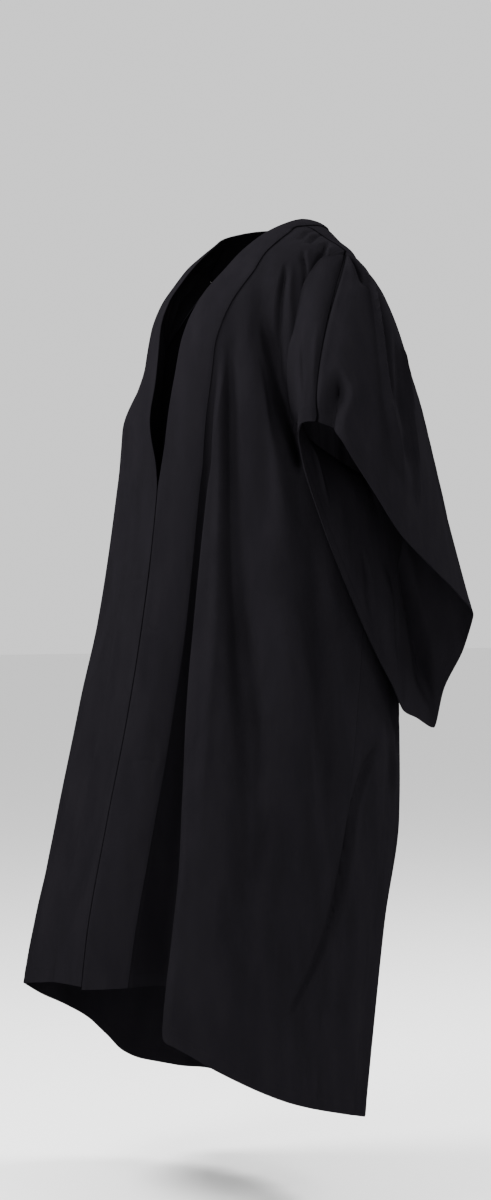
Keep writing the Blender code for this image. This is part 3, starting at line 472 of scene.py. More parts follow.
# Soft creases on the body panels, each along its path of (angle, drop) places.
# Width in metres each way at its top and foot, depth - into the cloth, skew +
# makes the side of larger angle the softer one, ends is how much of its length
# it takes to rise and to die away.
CREASES = (
    # name, path, width_top, width_foot, depth, skew, ends
    # left front
    ("armpit valley", ((52.6, 0.255), (57.2, 0.325), (61.8, 0.395), (66.6, 0.445), (70.0, 0.492)), 0.0095, 0.0150, -0.0170, 0.55, 0.20),
    ("armpit shade", ((59.4, 0.340), (63.4, 0.395), (68.2, 0.447), (71.5, 0.490)), 0.0110, 0.0140, -0.0095, 0.2, 0.30),
    ("breast roll", ((49.5, 0.285), (52.6, 0.345), (56.6, 0.409), (60.6, 0.467), (63.0, 0.524), (63.7, 0.589), (64.5, 0.66)), 0.0150, 0.0230, 0.0135, -0.30, 0.28),
    ("breast valley", ((38.6, 0.28), (39.2, 0.38), (40.6, 0.48), (43.6, 0.59), (47.0, 0.70), (51.5, 0.79)), 0.0100, 0.0140, -0.0150, 0.25, 0.22),
    ("long valley", ((43.5, 0.60), (47.9, 0.695), (52.8, 0.779), (57.2, 0.861), (59.8, 0.943), (62.0, 1.024), (64.6, 1.105), (67.4, 1.186)), 0.0160, 0.0260, -0.0190, 0.05, 0.28),
    ("roll by the seam", ((34.8, 0.36), (38.8, 0.55), (40.5, 0.68), (43.5, 0.83), (47.0, 1.02)), 0.0080, 0.0100, 0.0046, -0.2, 0.22),
    ("hip roll", ((64.5, 0.60), (67.2, 0.695), (71.4, 0.779), (74.7, 0.862), (78.3, 0.946), (82.1, 1.029), (86.5, 1.114)), 0.0220, 0.0250, 0.0125, -0.25, 0.26),
    ("hip hollow", ((72.0, 0.50), (77.0, 0.70), (83.0, 0.90), (84.0, 1.02)), 0.0170, 0.0200, -0.0075, 0.0, 0.30),
    ("pleat from the shoulder", ((63.4, 0.168), (61.8, 0.205), (60.4, 0.250), (60.2, 0.300), (61.0, 0.350)), 0.0036, 0.0080, -0.0074, 0.3, 0.28),
    ("beside the pleat", ((66.0, 0.172), (65.2, 0.235), (66.4, 0.32)), 0.0040, 0.0070, 0.0034, 0.0, 0.35),
    ("small pleat", ((71.2, 0.146), (71.6, 0.19), (71.0, 0.240)), 0.0026, 0.0040, -0.0046, 0.1, 0.30),
    ("gather 1", ((84.2, 0.122), (80.6, 0.148), (77.2, 0.184)), 0.0038, 0.0050, -0.0078, 0.2, 0.22),
    ("gather 2", ((79.6, 0.150), (76.4, 0.174), (73.8, 0.206)), 0.0032, 0.0042, -0.0050, 0.1, 0.28),
    ("gather 3", ((83.8, 0.094), (79.6, 0.110), (74.6, 0.132)), 0.0034, 0.0056, -0.0050, 0.0, 0.28),
    ("gather 4", ((81.8, 0.076), (76.6, 0.096), (71.0, 0.120)), 0.0034, 0.0060, -0.0036, 0.0, 0.30),
    ("gather 5", ((84.6, 0.136), (82.4, 0.156), (80.6, 0.178)), 0.0028, 0.0034, 0.0034, 0.0, 0.30),
    ("gather 6", ((74.6, 0.140), (73.2, 0.170), (72.6, 0.205)), 0.0030, 0.0040, 0.0026, 0.0, 0.35),
    ("side crease", ((106.5, 0.868), (103.8, 0.886), (99.8, 0.909), (95.8, 0.955), (95.0, 1.01), (93.3, 1.078), (91.4, 1.125), (88.4, 1.172), (83.0, 1.226), (78.0, 1.262)), 0.0028, 0.0040, -0.0052, -0.45, 0.14),
    ("side crease lip", ((107.5, 0.880), (101.8, 0.915), (98.2, 0.965), (97.2, 1.02), (95.4, 1.09), (92.2, 1.15), (87.0, 1.215)), 0.0050, 0.0070, 0.0048, 0.4, 0.18),
    ("under the arm", ((112.0, 0.82), (117.0, 0.87), (121.5, 0.91), (123.0, 0.97)), 0.0060, 0.0080, 0.0090, 0.0, 0.30),
    ("hem wave", ((92.0, 1.20), (90.0, 1.28), (88.0, 1.37)), 0.020, 0.024, -0.0045, 0.0, 0.3),
    # left band
    ("band droop", ((1.5, 0.57), (4.5, 0.70), (8.5, 0.86)), 0.010, 0.012, -0.0016, 0.2, 0.35),
    ("band ripple", ((15.0, 0.86), (17.5, 0.90), (16.0, 0.95)), 0.0040, 0.0060, 0.0013, 0.0, 0.4),
    ("band ripple 2", ((11.5, 0.30), (12.5, 0.40), (11.0, 0.50)), 0.012, 0.014, -0.0012, 0.0, 0.4),
    # right front and band
    ("right roll", ((-25.5, 0.44), (-25.0, 0.62), (-24.0, 0.84), (-26.0, 1.05)), 0.012, 0.016, 0.0026, 0.0, 0.3),
    ("right hollow", ((-8.0, 0.80), (-9.0, 0.94), (-10.0, 1.06), (-11.0, 1.18)), 0.024, 0.034, -0.0085, -0.20, 0.35),
    ("right hollow 2", ((-31.0, 0.58), (-33.0, 0.76), (-36.0, 0.98)), 0.010, 0.016, -0.0032, 0.0, 0.3),
    ("right breast valley", ((-40.0, 0.30), (-43.0, 0.45), (-46.0, 0.62), (-51.0, 0.80)), 0.011, 0.018, -0.0060, -0.25, 0.25),
    ("right armpit valley", ((-52.5, 0.23), (-55.5, 0.30), (-60.5, 0.38), (-67.0, 0.47)), 0.011, 0.017, -0.0095, -0.2, 0.3),
    ("right pleat", ((-61.5, 0.182), (-61.0, 0.24), (-63.0, 0.33)), 0.0034, 0.0065, -0.0038, -0.1, 0.35),
    ("right pleat 2", ((-69.0, 0.165), (-69.6, 0.20), (-69.0, 0.25)), 0.0030, 0.0045, -0.0028, 0.0, 0.4),
    ("right gather 1", ((-83.0, 0.125), (-79.6, 0.150), (-77.0, 0.185)), 0.0036, 0.0044, -0.0036, 0.0, 0.3),
    ("right gather 2", ((-83.6, 0.094), (-79.0, 0.114), (-74.0, 0.135)), 0.0032, 0.0050, -0.0024, 0.0, 0.35),
    ("right hip roll", ((-66.0, 0.62), (-70.0, 0.84), (-73.0, 1.10)), 0.020, 0.020, 0.0045, 0.0, 0.3),
    ("right side crease", ((-107.0, 0.80), (-101.0, 0.87), (-98.0, 0.97), (-95.0, 1.08), (-88.0, 1.19)), 0.0046, 0.0070, -0.0042, 0.2, 0.2),
    ("right side lip", ((-110.0, 0.82), (-104.0, 0.89), (-101.0, 0.98), (-97.0, 1.10)), 0.0060, 0.0080, 0.0030, -0.2, 0.25),
    # back
    ("back crease 1", ((128.0, 0.30), (131.0, 0.50), (127.0, 0.76)), 0.0060, 0.0100, -0.0036, 0.2, 0.3),
    ("back crease 2", ((143.0, 0.52), (144.0, 0.80), (141.0, 1.12)), 0.0070, 0.0110, 0.0036, 0.0, 0.3),
    ("back crease 3", ((158.0, 0.26), (157.0, 0.44), (159.0, 0.66)), 0.0050, 0.0090, -0.0034, -0.1, 0.3),
    ("back crease 4", ((172.0, 0.60), (173.0, 0.88), (175.5, 1.22)), 0.0080, 0.0120, 0.0040, 0.1, 0.25),
    ("back crease 5", ((187.0, 0.28), (189.5, 0.48), (188.0, 0.80)), 0.0050, 0.0100, -0.0038, 0.1, 0.3),
    ("back crease 6", ((204.0, 0.66), (206.0, 0.90), (209.0, 1.20)), 0.0080, 0.0110, 0.0036, 0.0, 0.3),
    ("back crease 7", ((222.0, 0.27), (220.0, 0.45), (224.0, 0.70)), 0.0050, 0.0090, -0.0034, 0.0, 0.3),
    ("back crease 8", ((236.0, 0.55), (239.0, 0.85), (242.0, 1.10)), 0.0070, 0.0110, 0.0034, 0.0, 0.3),
    ("seat crease", ((150.0, 0.70), (166.0, 0.745), (184.0, 0.735)), 0.0060, 0.0060, -0.0018, 0.0, 0.4),
    ("seat crease 2", ((196.0, 0.78), (210.0, 0.815), (222.0, 0.80)), 0.0050, 0.0060, -0.0016, 0.0, 0.4),
)

# Creases that run across a panel, soft and shallow, as folding leaves them.
ACROSS = (
    # name, path, width, depth
    ("band crease", ((-0.3, 0.706), (5.0, 0.709), (12.0, 0.713)), 0.0020, -0.0009),
    ("band crease 2", ((4.0, 0.902), (12.0, 0.898), (19.5, 0.905)), 0.0022, -0.0008),
    ("band crease 3", ((-18.0, 0.640), (-9.0, 0.636), (-1.0, 0.642)), 0.0022, -0.0008),
    ("front crease", ((44.0, 0.842), (56.0, 0.836), (72.0, 0.850)), 0.0035, -0.0008),
    ("front crease 2", ((50.0, 1.092), (64.0, 1.100), (84.0, 1.090)), 0.0035, -0.0008),
    ("back crease", ((128.0, 0.842), (160.0, 0.850), (196.0, 0.838)), 0.0035, -0.0010),
    ("back crease 2", ((150.0, 1.092), (186.0, 1.100), (226.0, 1.088)), 0.0035, -0.0010),
)

# Folds of the sleeves, along paths of (turn, fall).
SLEEVE_FOLDS = (
    # name, path, width_top, width_foot, depth, skew, ends
    ("long ridge", ((0.116, 0.19), (0.129, 0.32), (0.139, 0.42), (0.150, 0.53), (0.160, 0.635), (0.170, 0.72), (0.187, 0.80), (0.203, 0.88)), 0.0044, 0.0068, 0.0115, 0.35, 0.16),
    ("beside the ridge", ((0.136, 0.16), (0.152, 0.32), (0.165, 0.46), (0.180, 0.60), (0.196, 0.74)), 0.0100, 0.0140, -0.0150, 0.3, 0.20),
    ("outer ridge", ((0.246, 0.40), (0.238, 0.52), (0.237, 0.66), (0.236, 0.75), (0.231, 0.84), (0.236, 0.92)), 0.0040, 0.0060, 0.0068, 0.2, 0.18),
    ("outer hollow", ((0.218, 0.40), (0.217, 0.56), (0.215, 0.72), (0.210, 0.86)), 0.0070, 0.0090, -0.0075, 0.0, 0.25),
    ("elbow hollow", ((0.076, 0.78), (0.054, 0.85), (0.040, 0.91), (0.028, 0.98), (0.020, 1.06)), 0.0135, 0.0190, -0.0225, 0.25, 0.24),
    ("elbow lip", ((0.100, 0.74), (0.088, 0.83), (0.078, 0.91), (0.070, 0.99)), 0.0070, 0.0090, 0.0046, 0.0, 0.30),
    ("head tuck", ((0.024, 0.10), (0.046, 0.18), (0.074, 0.26), (0.098, 0.36)), 0.0046, 0.0085, -0.0100, 0.3, 0.26),
    ("head tuck lip", ((0.012, 0.12), (0.032, 0.22), (0.062, 0.34)), 0.0046, 0.0070, 0.0044, 0.0, 0.35),
    ("head tuck 2", ((0.118, 0.06), (0.126, 0.14), (0.136, 0.22)), 0.0036, 0.0060, -0.0028, 0.0, 0.40),
    ("head tuck 3", ((0.160, 0.05), (0.168, 0.13), (0.176, 0.22)), 0.0036, 0.0060, -0.0024, 0.0, 0.40),
    ("front roll", ((0.930, 0.30), (0.932, 0.50), (0.940, 0.70), (0.955, 0.88)), 0.0090, 0.0090, -0.0036, 0.0, 0.35),
    ("front pull", ((0.975, 0.55), (0.985, 0.72), (0.990, 0.90)), 0.0050, 0.0060, 0.0024, 0.0, 0.35),
    ("seam lap", ((0.0075, 0.05), (0.0075, 0.50), (0.0080, 0.98)), 0.0040, 0.0042, 0.0020, 0.0, 0.06),
    ("seam groove", ((0.0, 0.03), (0.0, 0.50), (0.0, 1.02)), 0.0034, 0.0036, -0.0026, 0.0, 0.05),
    ("seam groove", ((1.0, 0.03), (1.0, 0.50), (1.0, 1.02)), 0.0034, 0.0036, -0.0026, 0.0, 0.05),
    ("back ridge", ((0.300, 0.42), (0.318, 0.58), (0.330, 0.76), (0.334, 0.90)), 0.0060, 0.0080, 0.0036, 0.1, 0.30),
    ("back hollow", ((0.366, 0.30), (0.376, 0.48), (0.384, 0.66)), 0.0080, 0.0110, -0.0044, 0.0, 0.30),
    ("inner crease", ((0.540, 0.50), (0.533, 0.598), (0.527, 0.657), (0.522, 0.718), (0.517, 0.779), (0.516, 0.832), (0.513, 0.892), (0.513, 0.97)), 0.0044, 0.0054, 0.0040, 0.0, 0.20),
    ("inner fold", ((0.544, 0.44), (0.533, 0.598), (0.522, 0.718), (0.516, 0.832), (0.513, 0.96)), 0.0170, 0.0270, 0.0220, 0.50, 0.24),
    ("inner hollow", ((0.640, 0.50), (0.655, 0.66), (0.668, 0.82), (0.668, 0.97)), 0.0120, 0.0160, -0.0060, 0.1, 0.26),
    ("inner hem fold", ((0.700, 0.55), (0.706, 0.72), (0.712, 0.90)), 0.0080, 0.0100, 0.0040, 0.0, 0.35),
    ("under fold", ((0.800, 0.30), (0.790, 0.50), (0.778, 0.72)), 0.0070, 0.0100, -0.0036, 0.0, 0.35),
)


def path_bump(x, y, path, scale_x, width_top, width_foot, depth, skew, ends):
    """A soft ridge along a path across a chart of the cloth in metres; its
    place is (x, y), and scale_x turns the path's first number into metres."""
    knots = np.array(path, dtype=float)
    run = np.linspace(0.0, 1.0, len(knots))
    fine = np.linspace(0.0, 1.0, 25)
    px = smooth(run, knots[:, 0], fine) * scale_x
    py = smooth(run, knots[:, 1], fine)
    best = np.full(x.shape, 9.0)
    side = np.zeros(x.shape)
    share = np.zeros(x.shape)
    reach = 3.2 * max(width_top, width_foot) * (1.0 + abs(skew))
    near = ((x > px.min() - reach) & (x < px.max() + reach)
            & (y > py.min() - reach) & (y < py.max() + reach))
    if not near.any():
        return np.zeros(x.shape)
    xs, ys = x[near], y[near]
    got, turned, part = best[near], side[near], share[near]
    for k in range(24):
        dx, dy = px[k + 1] - px[k], py[k + 1] - py[k]
        size = dx * dx + dy * dy + 1e-12
        t = np.clip(((xs - px[k]) * dx + (ys - py[k]) * dy) / size, 0.0, 1.0)
        ox, oy = xs - px[k] - t * dx, ys - py[k] - t * dy
        away = np.hypot(ox, oy)
        closer = away < got
        got = np.where(closer, away, got)
        turned = np.where(closer, np.sign(ox * abs(dy) - oy * dx * np.sign(dy + 1e-9)), turned)
        part = np.where(closer, (k + t) / 24.0, part)
    width = width_top + (width_foot - width_top) * part
    width = width * (1.0 + skew * turned)
    rise = ease(part / ends) * ease((1.0 - part) / ends)
    out = np.zeros(x.shape)
    out[near] = depth * np.exp(-(got / width) ** 2) * rise
    return out


def creases(angle, drop):
    """Fine creases of the body panels, out of the form, in metres."""
    radius = plain_ring(angle, drop)[0]
    angle, drop = np.broadcast_arrays(angle, drop)
    total = np.zeros(angle.shape)
    for (_n, path, w0, w1, depth, skew, ends) in CREASES:
        middle = np.mean([a for a, _d in path])
        away = (angle - middle + 180.0) % 360.0 - 180.0 + middle
        level = np.array([d for _a, d in path]).mean()
        size = float(plain_ring(np.array([middle]), np.array([level]))[0][0])
        total = total + path_bump(np.radians(away) * size, drop, path,
                                  math.pi / 180.0 * size, w0, w1, depth, skew, ends)
    for (_n, path, width, depth) in ACROSS:
        middle = np.mean([a for a, _d in path])
        away = (angle - middle + 180.0) % 360.0 - 180.0 + middle
        level = np.array([d for _a, d in path]).mean()
        size = float(plain_ring(np.array([middle]), np.array([level]))[0][0])
        total = total + path_bump(np.radians(away) * size, drop, path,
                                  math.pi / 180.0 * size, width, width, depth, 0.0, 0.35)
    return total


def gathers(angle, drop):
    """Small gathers let into the yoke's back seam."""
    radius = plain_ring(angle, drop)[0]
    along = np.radians(angle) * 0.175
    below = drop - 0.20
    wave = (np.sin(along * 2 * math.pi / 0.0135 + 1.7 * np.sin(along * 41.0))
            + 0.5 * np.sin(along * 2 * math.pi / 0.0083 + 1.1 * np.sin(along * 67.0)))
    reach = 0.075 + 0.04 * np.sin(along * 53.0)
    back = ease((np.abs(angle) - 104.0) / 8.0)
    return 0.0014 * wave * back * ease(below / 0.006 + 0.25) * np.exp(-np.maximum(below, 0.0) / reach)


def fine_form(angle, drop):
    """Points and outward normals of the form with its fine creases."""
    base, normal = form(angle, drop), form_normal(angle, drop)
    lift = creases(angle, drop) + gathers(angle, drop)
    return base + normal * lift[..., None], normal


def grid_normal(points, guide):
    """Unit normals of a grid of points, on the side of the guide normals."""
    down = np.gradient(points, axis=0)
    across = np.gradient(points, axis=1)
    normal = np.cross(down, across)
    normal /= np.maximum(np.linalg.norm(normal, axis=-1, keepdims=True), 1e-12)
    if np.mean(np.sum(normal * guide, axis=-1)) < 0.0:
        normal = -normal
    return normal


def lengths(points):
    """Distances in metres across and down a grid of points, as a cutter
    would measure them: u along the rows, v down the columns."""
    across = np.linalg.norm(np.diff(points, axis=1), axis=-1)
    down = np.linalg.norm(np.diff(points, axis=0), axis=-1)
    u = np.concatenate([np.zeros((points.shape[0], 1)), np.cumsum(across, axis=1)], axis=1)
    v = np.concatenate([np.zeros((1, points.shape[1])), np.cumsum(down, axis=0)], axis=0)
    return u, v


def sewn_edges(points, first, last, top):
    """Distance to the nearest sewn edge: first and last column, top row."""
    u, v = lengths(points)
    nearest = np.full(points.shape[:2], 1.0)
    if first:
        nearest = np.minimum(nearest, u)
    if last:
        nearest = np.minimum(nearest, u[:, -1:] - u)
    if top:
        nearest = np.minimum(nearest, v)
    return np.stack([nearest, u + v], axis=-1)


def shell(name, points, normal, thick, material, trim=None, sewn=None):
    """A thin closed shell of cloth about a grid of points.  thick is its
    thickness at each point; trim adds a second UV of distances to the edges."""
    rows, columns = points.shape[:2]
    count = rows * columns
    half = np.broadcast_to(thick, (rows, columns))[..., None] / 2
    outer = (points + normal * half).reshape(-1, 3)
    inner = (points - normal * half).reshape(-1, 3)
    index = np.arange(count).reshape(rows, columns)
    a, b = index[:-1, :-1].ravel(), index[:-1, 1:].ravel()
    c, d = index[1:, 1:].ravel(), index[1:, :-1].ravel()
    middle = points.reshape(-1, 3)
    turning = np.cross(middle[b[0]] - middle[a[0]], middle[d[0]] - middle[a[0]])
    flip = np.dot(turning, normal.reshape(-1, 3)[a[0]]) < 0.0
    top = np.stack([a, d, c, b], axis=1) if flip else np.stack([a, b, c, d], axis=1)
    low = top[:, ::-1] + count
    rim = np.concatenate([index[0, :-1], index[:-1, -1], index[-1, :0:-1], index[:0:-1, 0]])
    after = np.roll(rim, -1)
    if flip:
        side = np.stack([rim, after, after + count, rim + count], axis=1)
    else:
        side = np.stack([after, rim, rim + count, after + count], axis=1)
    faces = np.vstack([top, low, side])
    mesh = bpy.data.meshes.new(name)
    mesh.vertices.add(2 * count)
    mesh.vertices.foreach_set("co", np.vstack([outer, inner]).astype(np.float32).ravel())
    mesh.loops.add(faces.size)
    mesh.loops.foreach_set("vertex_index", faces.astype(np.int32).ravel())
    mesh.polygons.add(len(faces))
    mesh.polygons.foreach_set("loop_start", (np.arange(len(faces)) * 4).astype(np.int32))
    mesh.polygons.foreach_set("use_smooth", np.ones(len(faces), dtype=bool))
    u, v = lengths(points)
    cloth = np.stack([u, v], axis=-1).reshape(-1, 2)
    where = (faces.ravel() % count)
    layer = mesh.uv_layers.new(name="cloth")
    layer.data.foreach_set("uv", cloth[where].astype(np.float32).ravel())
    if trim is not None:
        layer = mesh.uv_layers.new(name="trim")
        layer.data.foreach_set("uv", trim.reshape(-1, 2)[where].astype(np.float32).ravel())
    if sewn is not None:
        layer = mesh.uv_layers.new(name="sewn")
        layer.data.foreach_set("uv", sewn.reshape(-1, 2)[where].astype(np.float32).ravel())
    mesh.update(calc_edges=True)
    mesh.validate()
    mesh.set_sharp_from_angle(angle=math.radians(70.0))
    mesh.materials.append(material)
    thing = bpy.data.objects.new(name, mesh)
    bpy.context.scene.collection.objects.link(thing)
    return thing


def trim_of(points, run="hem"):
    """Distance along and up from the hem (the last row), in metres."""
    u, v = lengths(points)
    return np.stack([u, v[-1][None, :] - v], axis=-1)


def hem_thick(points, ply):
    """Thickness of a panel, turned up and stitched along its last row."""
    up = trim_of(points)[..., 1]
    turned = ease((HEM_DEPTH + 0.0012 - up) / 0.0016)
    stitch = np.exp(-((up - HEM_DEPTH + 0.0030) / 0.0012) ** 2)
    rolled = np.exp(-(up / 0.0022) ** 2)
    return ply + HEM_EXTRA * turned - 0.0008 * stitch * 0.6 + 0.0005 * rolled


# ---------------------------------------------------------------- fine panels
def fine_stations(rows, power=1.0):
    return (np.arange(rows + 1) / rows) ** power


def fine_front(side, rows=290, columns=150):
    v, even = fine_stations(rows), np.linspace(0.0, 1.0, columns)
    sign = 1.0 if side == "left" else -1.0
    outer_angle, outer_drop, inner_angle, inner_drop = band_edges(v, side)
    side_angle, side_drop = side_edge(v, "front", sign)
    side_angle = side_angle + np.degrees((SEAM_GAP - SEAM_FINE) / 2 / 0.2)
    table = INVERTED[side]
    bottom = look_up(table, INVERTED_COLUMNS, "drop", "bottom_turn", outer_drop)
    ridge = look_up(table, INVERTED_COLUMNS, "drop", "ridge_turn", outer_drop)
    whole = side_angle - outer_angle
    marks = np.array([0.0, 2.0, 5.0, 14.0]) / 14.0
    share = np.empty((len(v), columns))
    for k in range(len(v)):
        fitted = np.interp(even, marks, [0.0, bottom[k] / whole[k], ridge[k] / whole[k], 1.0])
        # round the corners of the spacing so that the cloth's cells stay even
        fitted = np.convolve(np.pad(fitted, 6, mode="reflect", reflect_type="odd"),
                             np.ones(13) / 13.0, mode="valid")
        share[k] = even + (fitted - even) * ease((outer_drop[k] - 0.22) / 0.24)
    angle = outer_angle[:, None] + (side_angle - outer_angle)[:, None] * share
    drop = outer_drop[:, None] + (side_drop - outer_drop)[:, None] * share
    along = 0.20 * even
    seam_angle = look_up(YOKE, YOKE_COLUMNS, "along", "angle", along)
    seam_drop = look_up(YOKE, YOKE_COLUMNS, "along", "drop", along)
    fade = ease(1.0 - v / 0.12)[:, None]
    angle = angle + (seam_angle - angle[0])[None, :] * fade
    drop = drop + (seam_drop - drop[0])[None, :] * fade
    angle = angle - np.degrees(SEAM_FINE / 0.15) * fade
    # three columns run under the band
    width = np.hypot(np.radians(outer_angle - inner_angle) * plain_ring(outer_angle, outer_drop)[0],
                     outer_drop - inner_drop)
    tuck = UNDERLAP / width
    extra_angle, extra_drop = [], []
    for s in (1.0, 0.66, 0.33):
        extra_angle.append(outer_angle + (inner_angle - outer_angle) * tuck * s
                           - np.degrees(1.6 * SEAM_FINE / 0.10) * fade[:, 0])
        extra_drop.append(outer_drop + (inner_drop - outer_drop) * tuck * s)
    angle = np.concatenate([np.stack(extra_angle, axis=1), angle], axis=1)
    drop = np.concatenate([np.stack(extra_drop, axis=1), drop], axis=1)
    hem = hem_drop(sign * angle[-1])
    drop = drop + (hem - drop[-1])[None, :] * ease((v - 0.55) / 0.45)[:, None]
    return sign * angle, drop


def fine_back(rows=210, columns=216):
    v = fine_stations(rows, 1.05)
    share = np.linspace(-1.0, 1.0, columns + 1)
    edge_angle, right_drop = side_edge(v, "back", -1.0)
    left_drop = side_edge(v, "back", 1.0)[1]
    edge_angle = edge_angle - np.degrees((SEAM_GAP - SEAM_FINE) / 2 / 0.2)
    angle = 180.0 + (180.0 - edge_angle)[:, None] * share[None, :]
    along = 0.38 + 0.62 * (1.0 - np.abs(share))
    top_drop = look_up(YOKE, YOKE_COLUMNS, "along", "drop", along) + SEAM_FINE
    hem = hem_drop(angle[-1])
    edge = np.where(share[None, :] < 0.0, left_drop[:, None], right_drop[:, None])
    middle = top_drop[None, :] + (hem - top_drop)[None, :] * v[:, None]
    mix = np.abs(share)[None, :] ** 3
    drop = (1.0 - mix) * middle + mix * edge
    drop[-1] = hem
    drop[0] = top_drop
    return angle, drop


def fine_band(side, columns=26, rows=360, neck_rows=60):
    sign = 1.0 if side == "left" else -1.0
    v = fine_stations(rows)[::-1]
    outer_angle, outer_drop, inner_angle, inner_drop = band_edges(v, side)
    along = np.linspace(0.0, 1.0, neck_rows + 1)[1:]
    neck = {name: look_up(NECK, NECK_COLUMNS, "along", name, along)
            for name in NECK_COLUMNS[1:]}
    outer_angle = np.concatenate([outer_angle, neck["outer_angle"]])
    outer_drop = np.concatenate([outer_drop, neck["outer_drop"]])
    inner_angle = np.concatenate([inner_angle, neck["inner_angle"]])
    inner_drop = np.concatenate([inner_drop, neck["inner_drop"]])
    inner_angle[-1] = outer_angle[-1] = 180.0 - np.degrees(SEAM_FINE / 2 / 0.06)
    share = np.linspace(0.0, 1.0, columns)[None, :]
    angle = inner_angle[:, None] + (outer_angle - inner_angle)[:, None] * share
    drop = inner_drop[:, None] + (outer_drop - inner_drop)[:, None] * share
    return sign * angle, drop


def fine_yoke(columns_a_side=90, rows=34):
    along = np.concatenate([np.linspace(0.0, 0.20, 40), np.linspace(0.20, 1.0, columns_a_side - 39)[1:]])
    inner_angle = look_up(NECK, NECK_COLUMNS, "along", "outer_angle", along)
    inner_drop = look_up(NECK, NECK_COLUMNS, "along", "outer_drop", along)
    edge_angle = look_up(NECK, NECK_COLUMNS, "along", "inner_angle", along)
    edge_drop = look_up(NECK, NECK_COLUMNS, "along", "inner_drop", along)
    inner_angle[-1] = edge_angle[-1] = 180.0
    width = np.hypot(np.radians(inner_angle - edge_angle)
                     * plain_ring(inner_angle, inner_drop)[0], inner_drop - edge_drop)
    outer_angle = look_up(YOKE, YOKE_COLUMNS, "along", "angle", along)
    outer_drop = look_up(YOKE, YOKE_COLUMNS, "along", "drop", along)
    share = np.linspace(0.0, 1.0, rows)
    angle = inner_angle[:, None] + (outer_angle - inner_angle)[:, None] * share
    drop = inner_drop[:, None] + (outer_drop - inner_drop)[:, None] * share
    extra_angle, extra_drop = [], []
    for s in (1.0, 0.5):
        tuck = UNDERLAP * s / width
        extra_angle.append(inner_angle + (edge_angle - inner_angle) * tuck)
        extra_drop.append(inner_drop + (edge_drop - inner_drop) * tuck)
    angle = np.concatenate([np.stack(extra_angle, axis=1), angle], axis=1)
    drop = np.concatenate([np.stack(extra_drop, axis=1), drop], axis=1)
    return (np.vstack([angle, 360.0 - angle[::-1][1:]]),
            np.vstack([drop, drop[::-1][1:]]))


def fine_sleeve(side, rows=110, columns=300):
    fine = np.linspace(0.0004, 0.9996, 2000)
    pace = 0.62 * fine + 0.38 * look_up(SLEEVE, SLEEVE_NAMES, "turn", "head", fine)
    turn = np.interp(np.linspace(pace[0], pace[-1], columns + 1), pace, fine)
    fall = np.linspace(0.0, 1.0, rows + 1)
    turns, falls = np.meshgrid(turn, fall, indexing="xy")
    # its head just covers the armhole edge, a little more by the shoulder point
    head = look_up(SLEEVE, SLEEVE_NAMES, "turn", "head", turns)
    lap = -0.0006 - 0.0022 * ease((head - 0.90) / 0.06)
    points = sleeve_points(turns, falls, side, np.linspace(0.0, 0.345, 200), lap[..., None])
    sign = 1.0 if side == "left" else -1.0
    guide = points - np.array([sign * 0.235, 0.0, -0.35])
    guide[..., 2] = 0.0
    normal = grid_normal(points, guide)
    return turns, falls, points, normal


def sleeve_folds(turns, falls, points, side):
    u, v = lengths(points)
    total = np.zeros(turns.shape)
    for k, (_n, path, w0, w1, depth, skew, ends) in enumerate(SLEEVE_FOLDS):
        if side == "right" and not _n.startswith("seam"):
            # the far sleeve folds alike, not the same
            path = tuple((t + 0.012 * math.sin(2.1 * k), f * (0.96 + 0.03 * math.cos(1.7 * k)))
                         for t, f in path)
            depth = depth * (0.85 + 0.25 * math.sin(3.3 * k))
        turn = np.mean([t for t, _f in path])
        fall = np.mean([f for _t, f in path])
        row = int(np.argmin(np.abs(falls[:, 0] - min(fall, 1.0))))
        place = np.interp([turn - 0.02, turn + 0.02], turns[row], u[row])
        around = (place[1] - place[0]) / 0.04
        column = int(np.argmin(np.abs(turns[row] - turn)))
        down = v[-1, column]
        away = np.where(np.abs(turns - turn) > 0.5, turns - np.sign(turns - turn), turns)
        scaled = tuple((t, f * down) for t, f in path)
        total = total + path_bump(away * around, falls * down, scaled, around,
                                  w0, w1, depth, skew, ends)
    return total


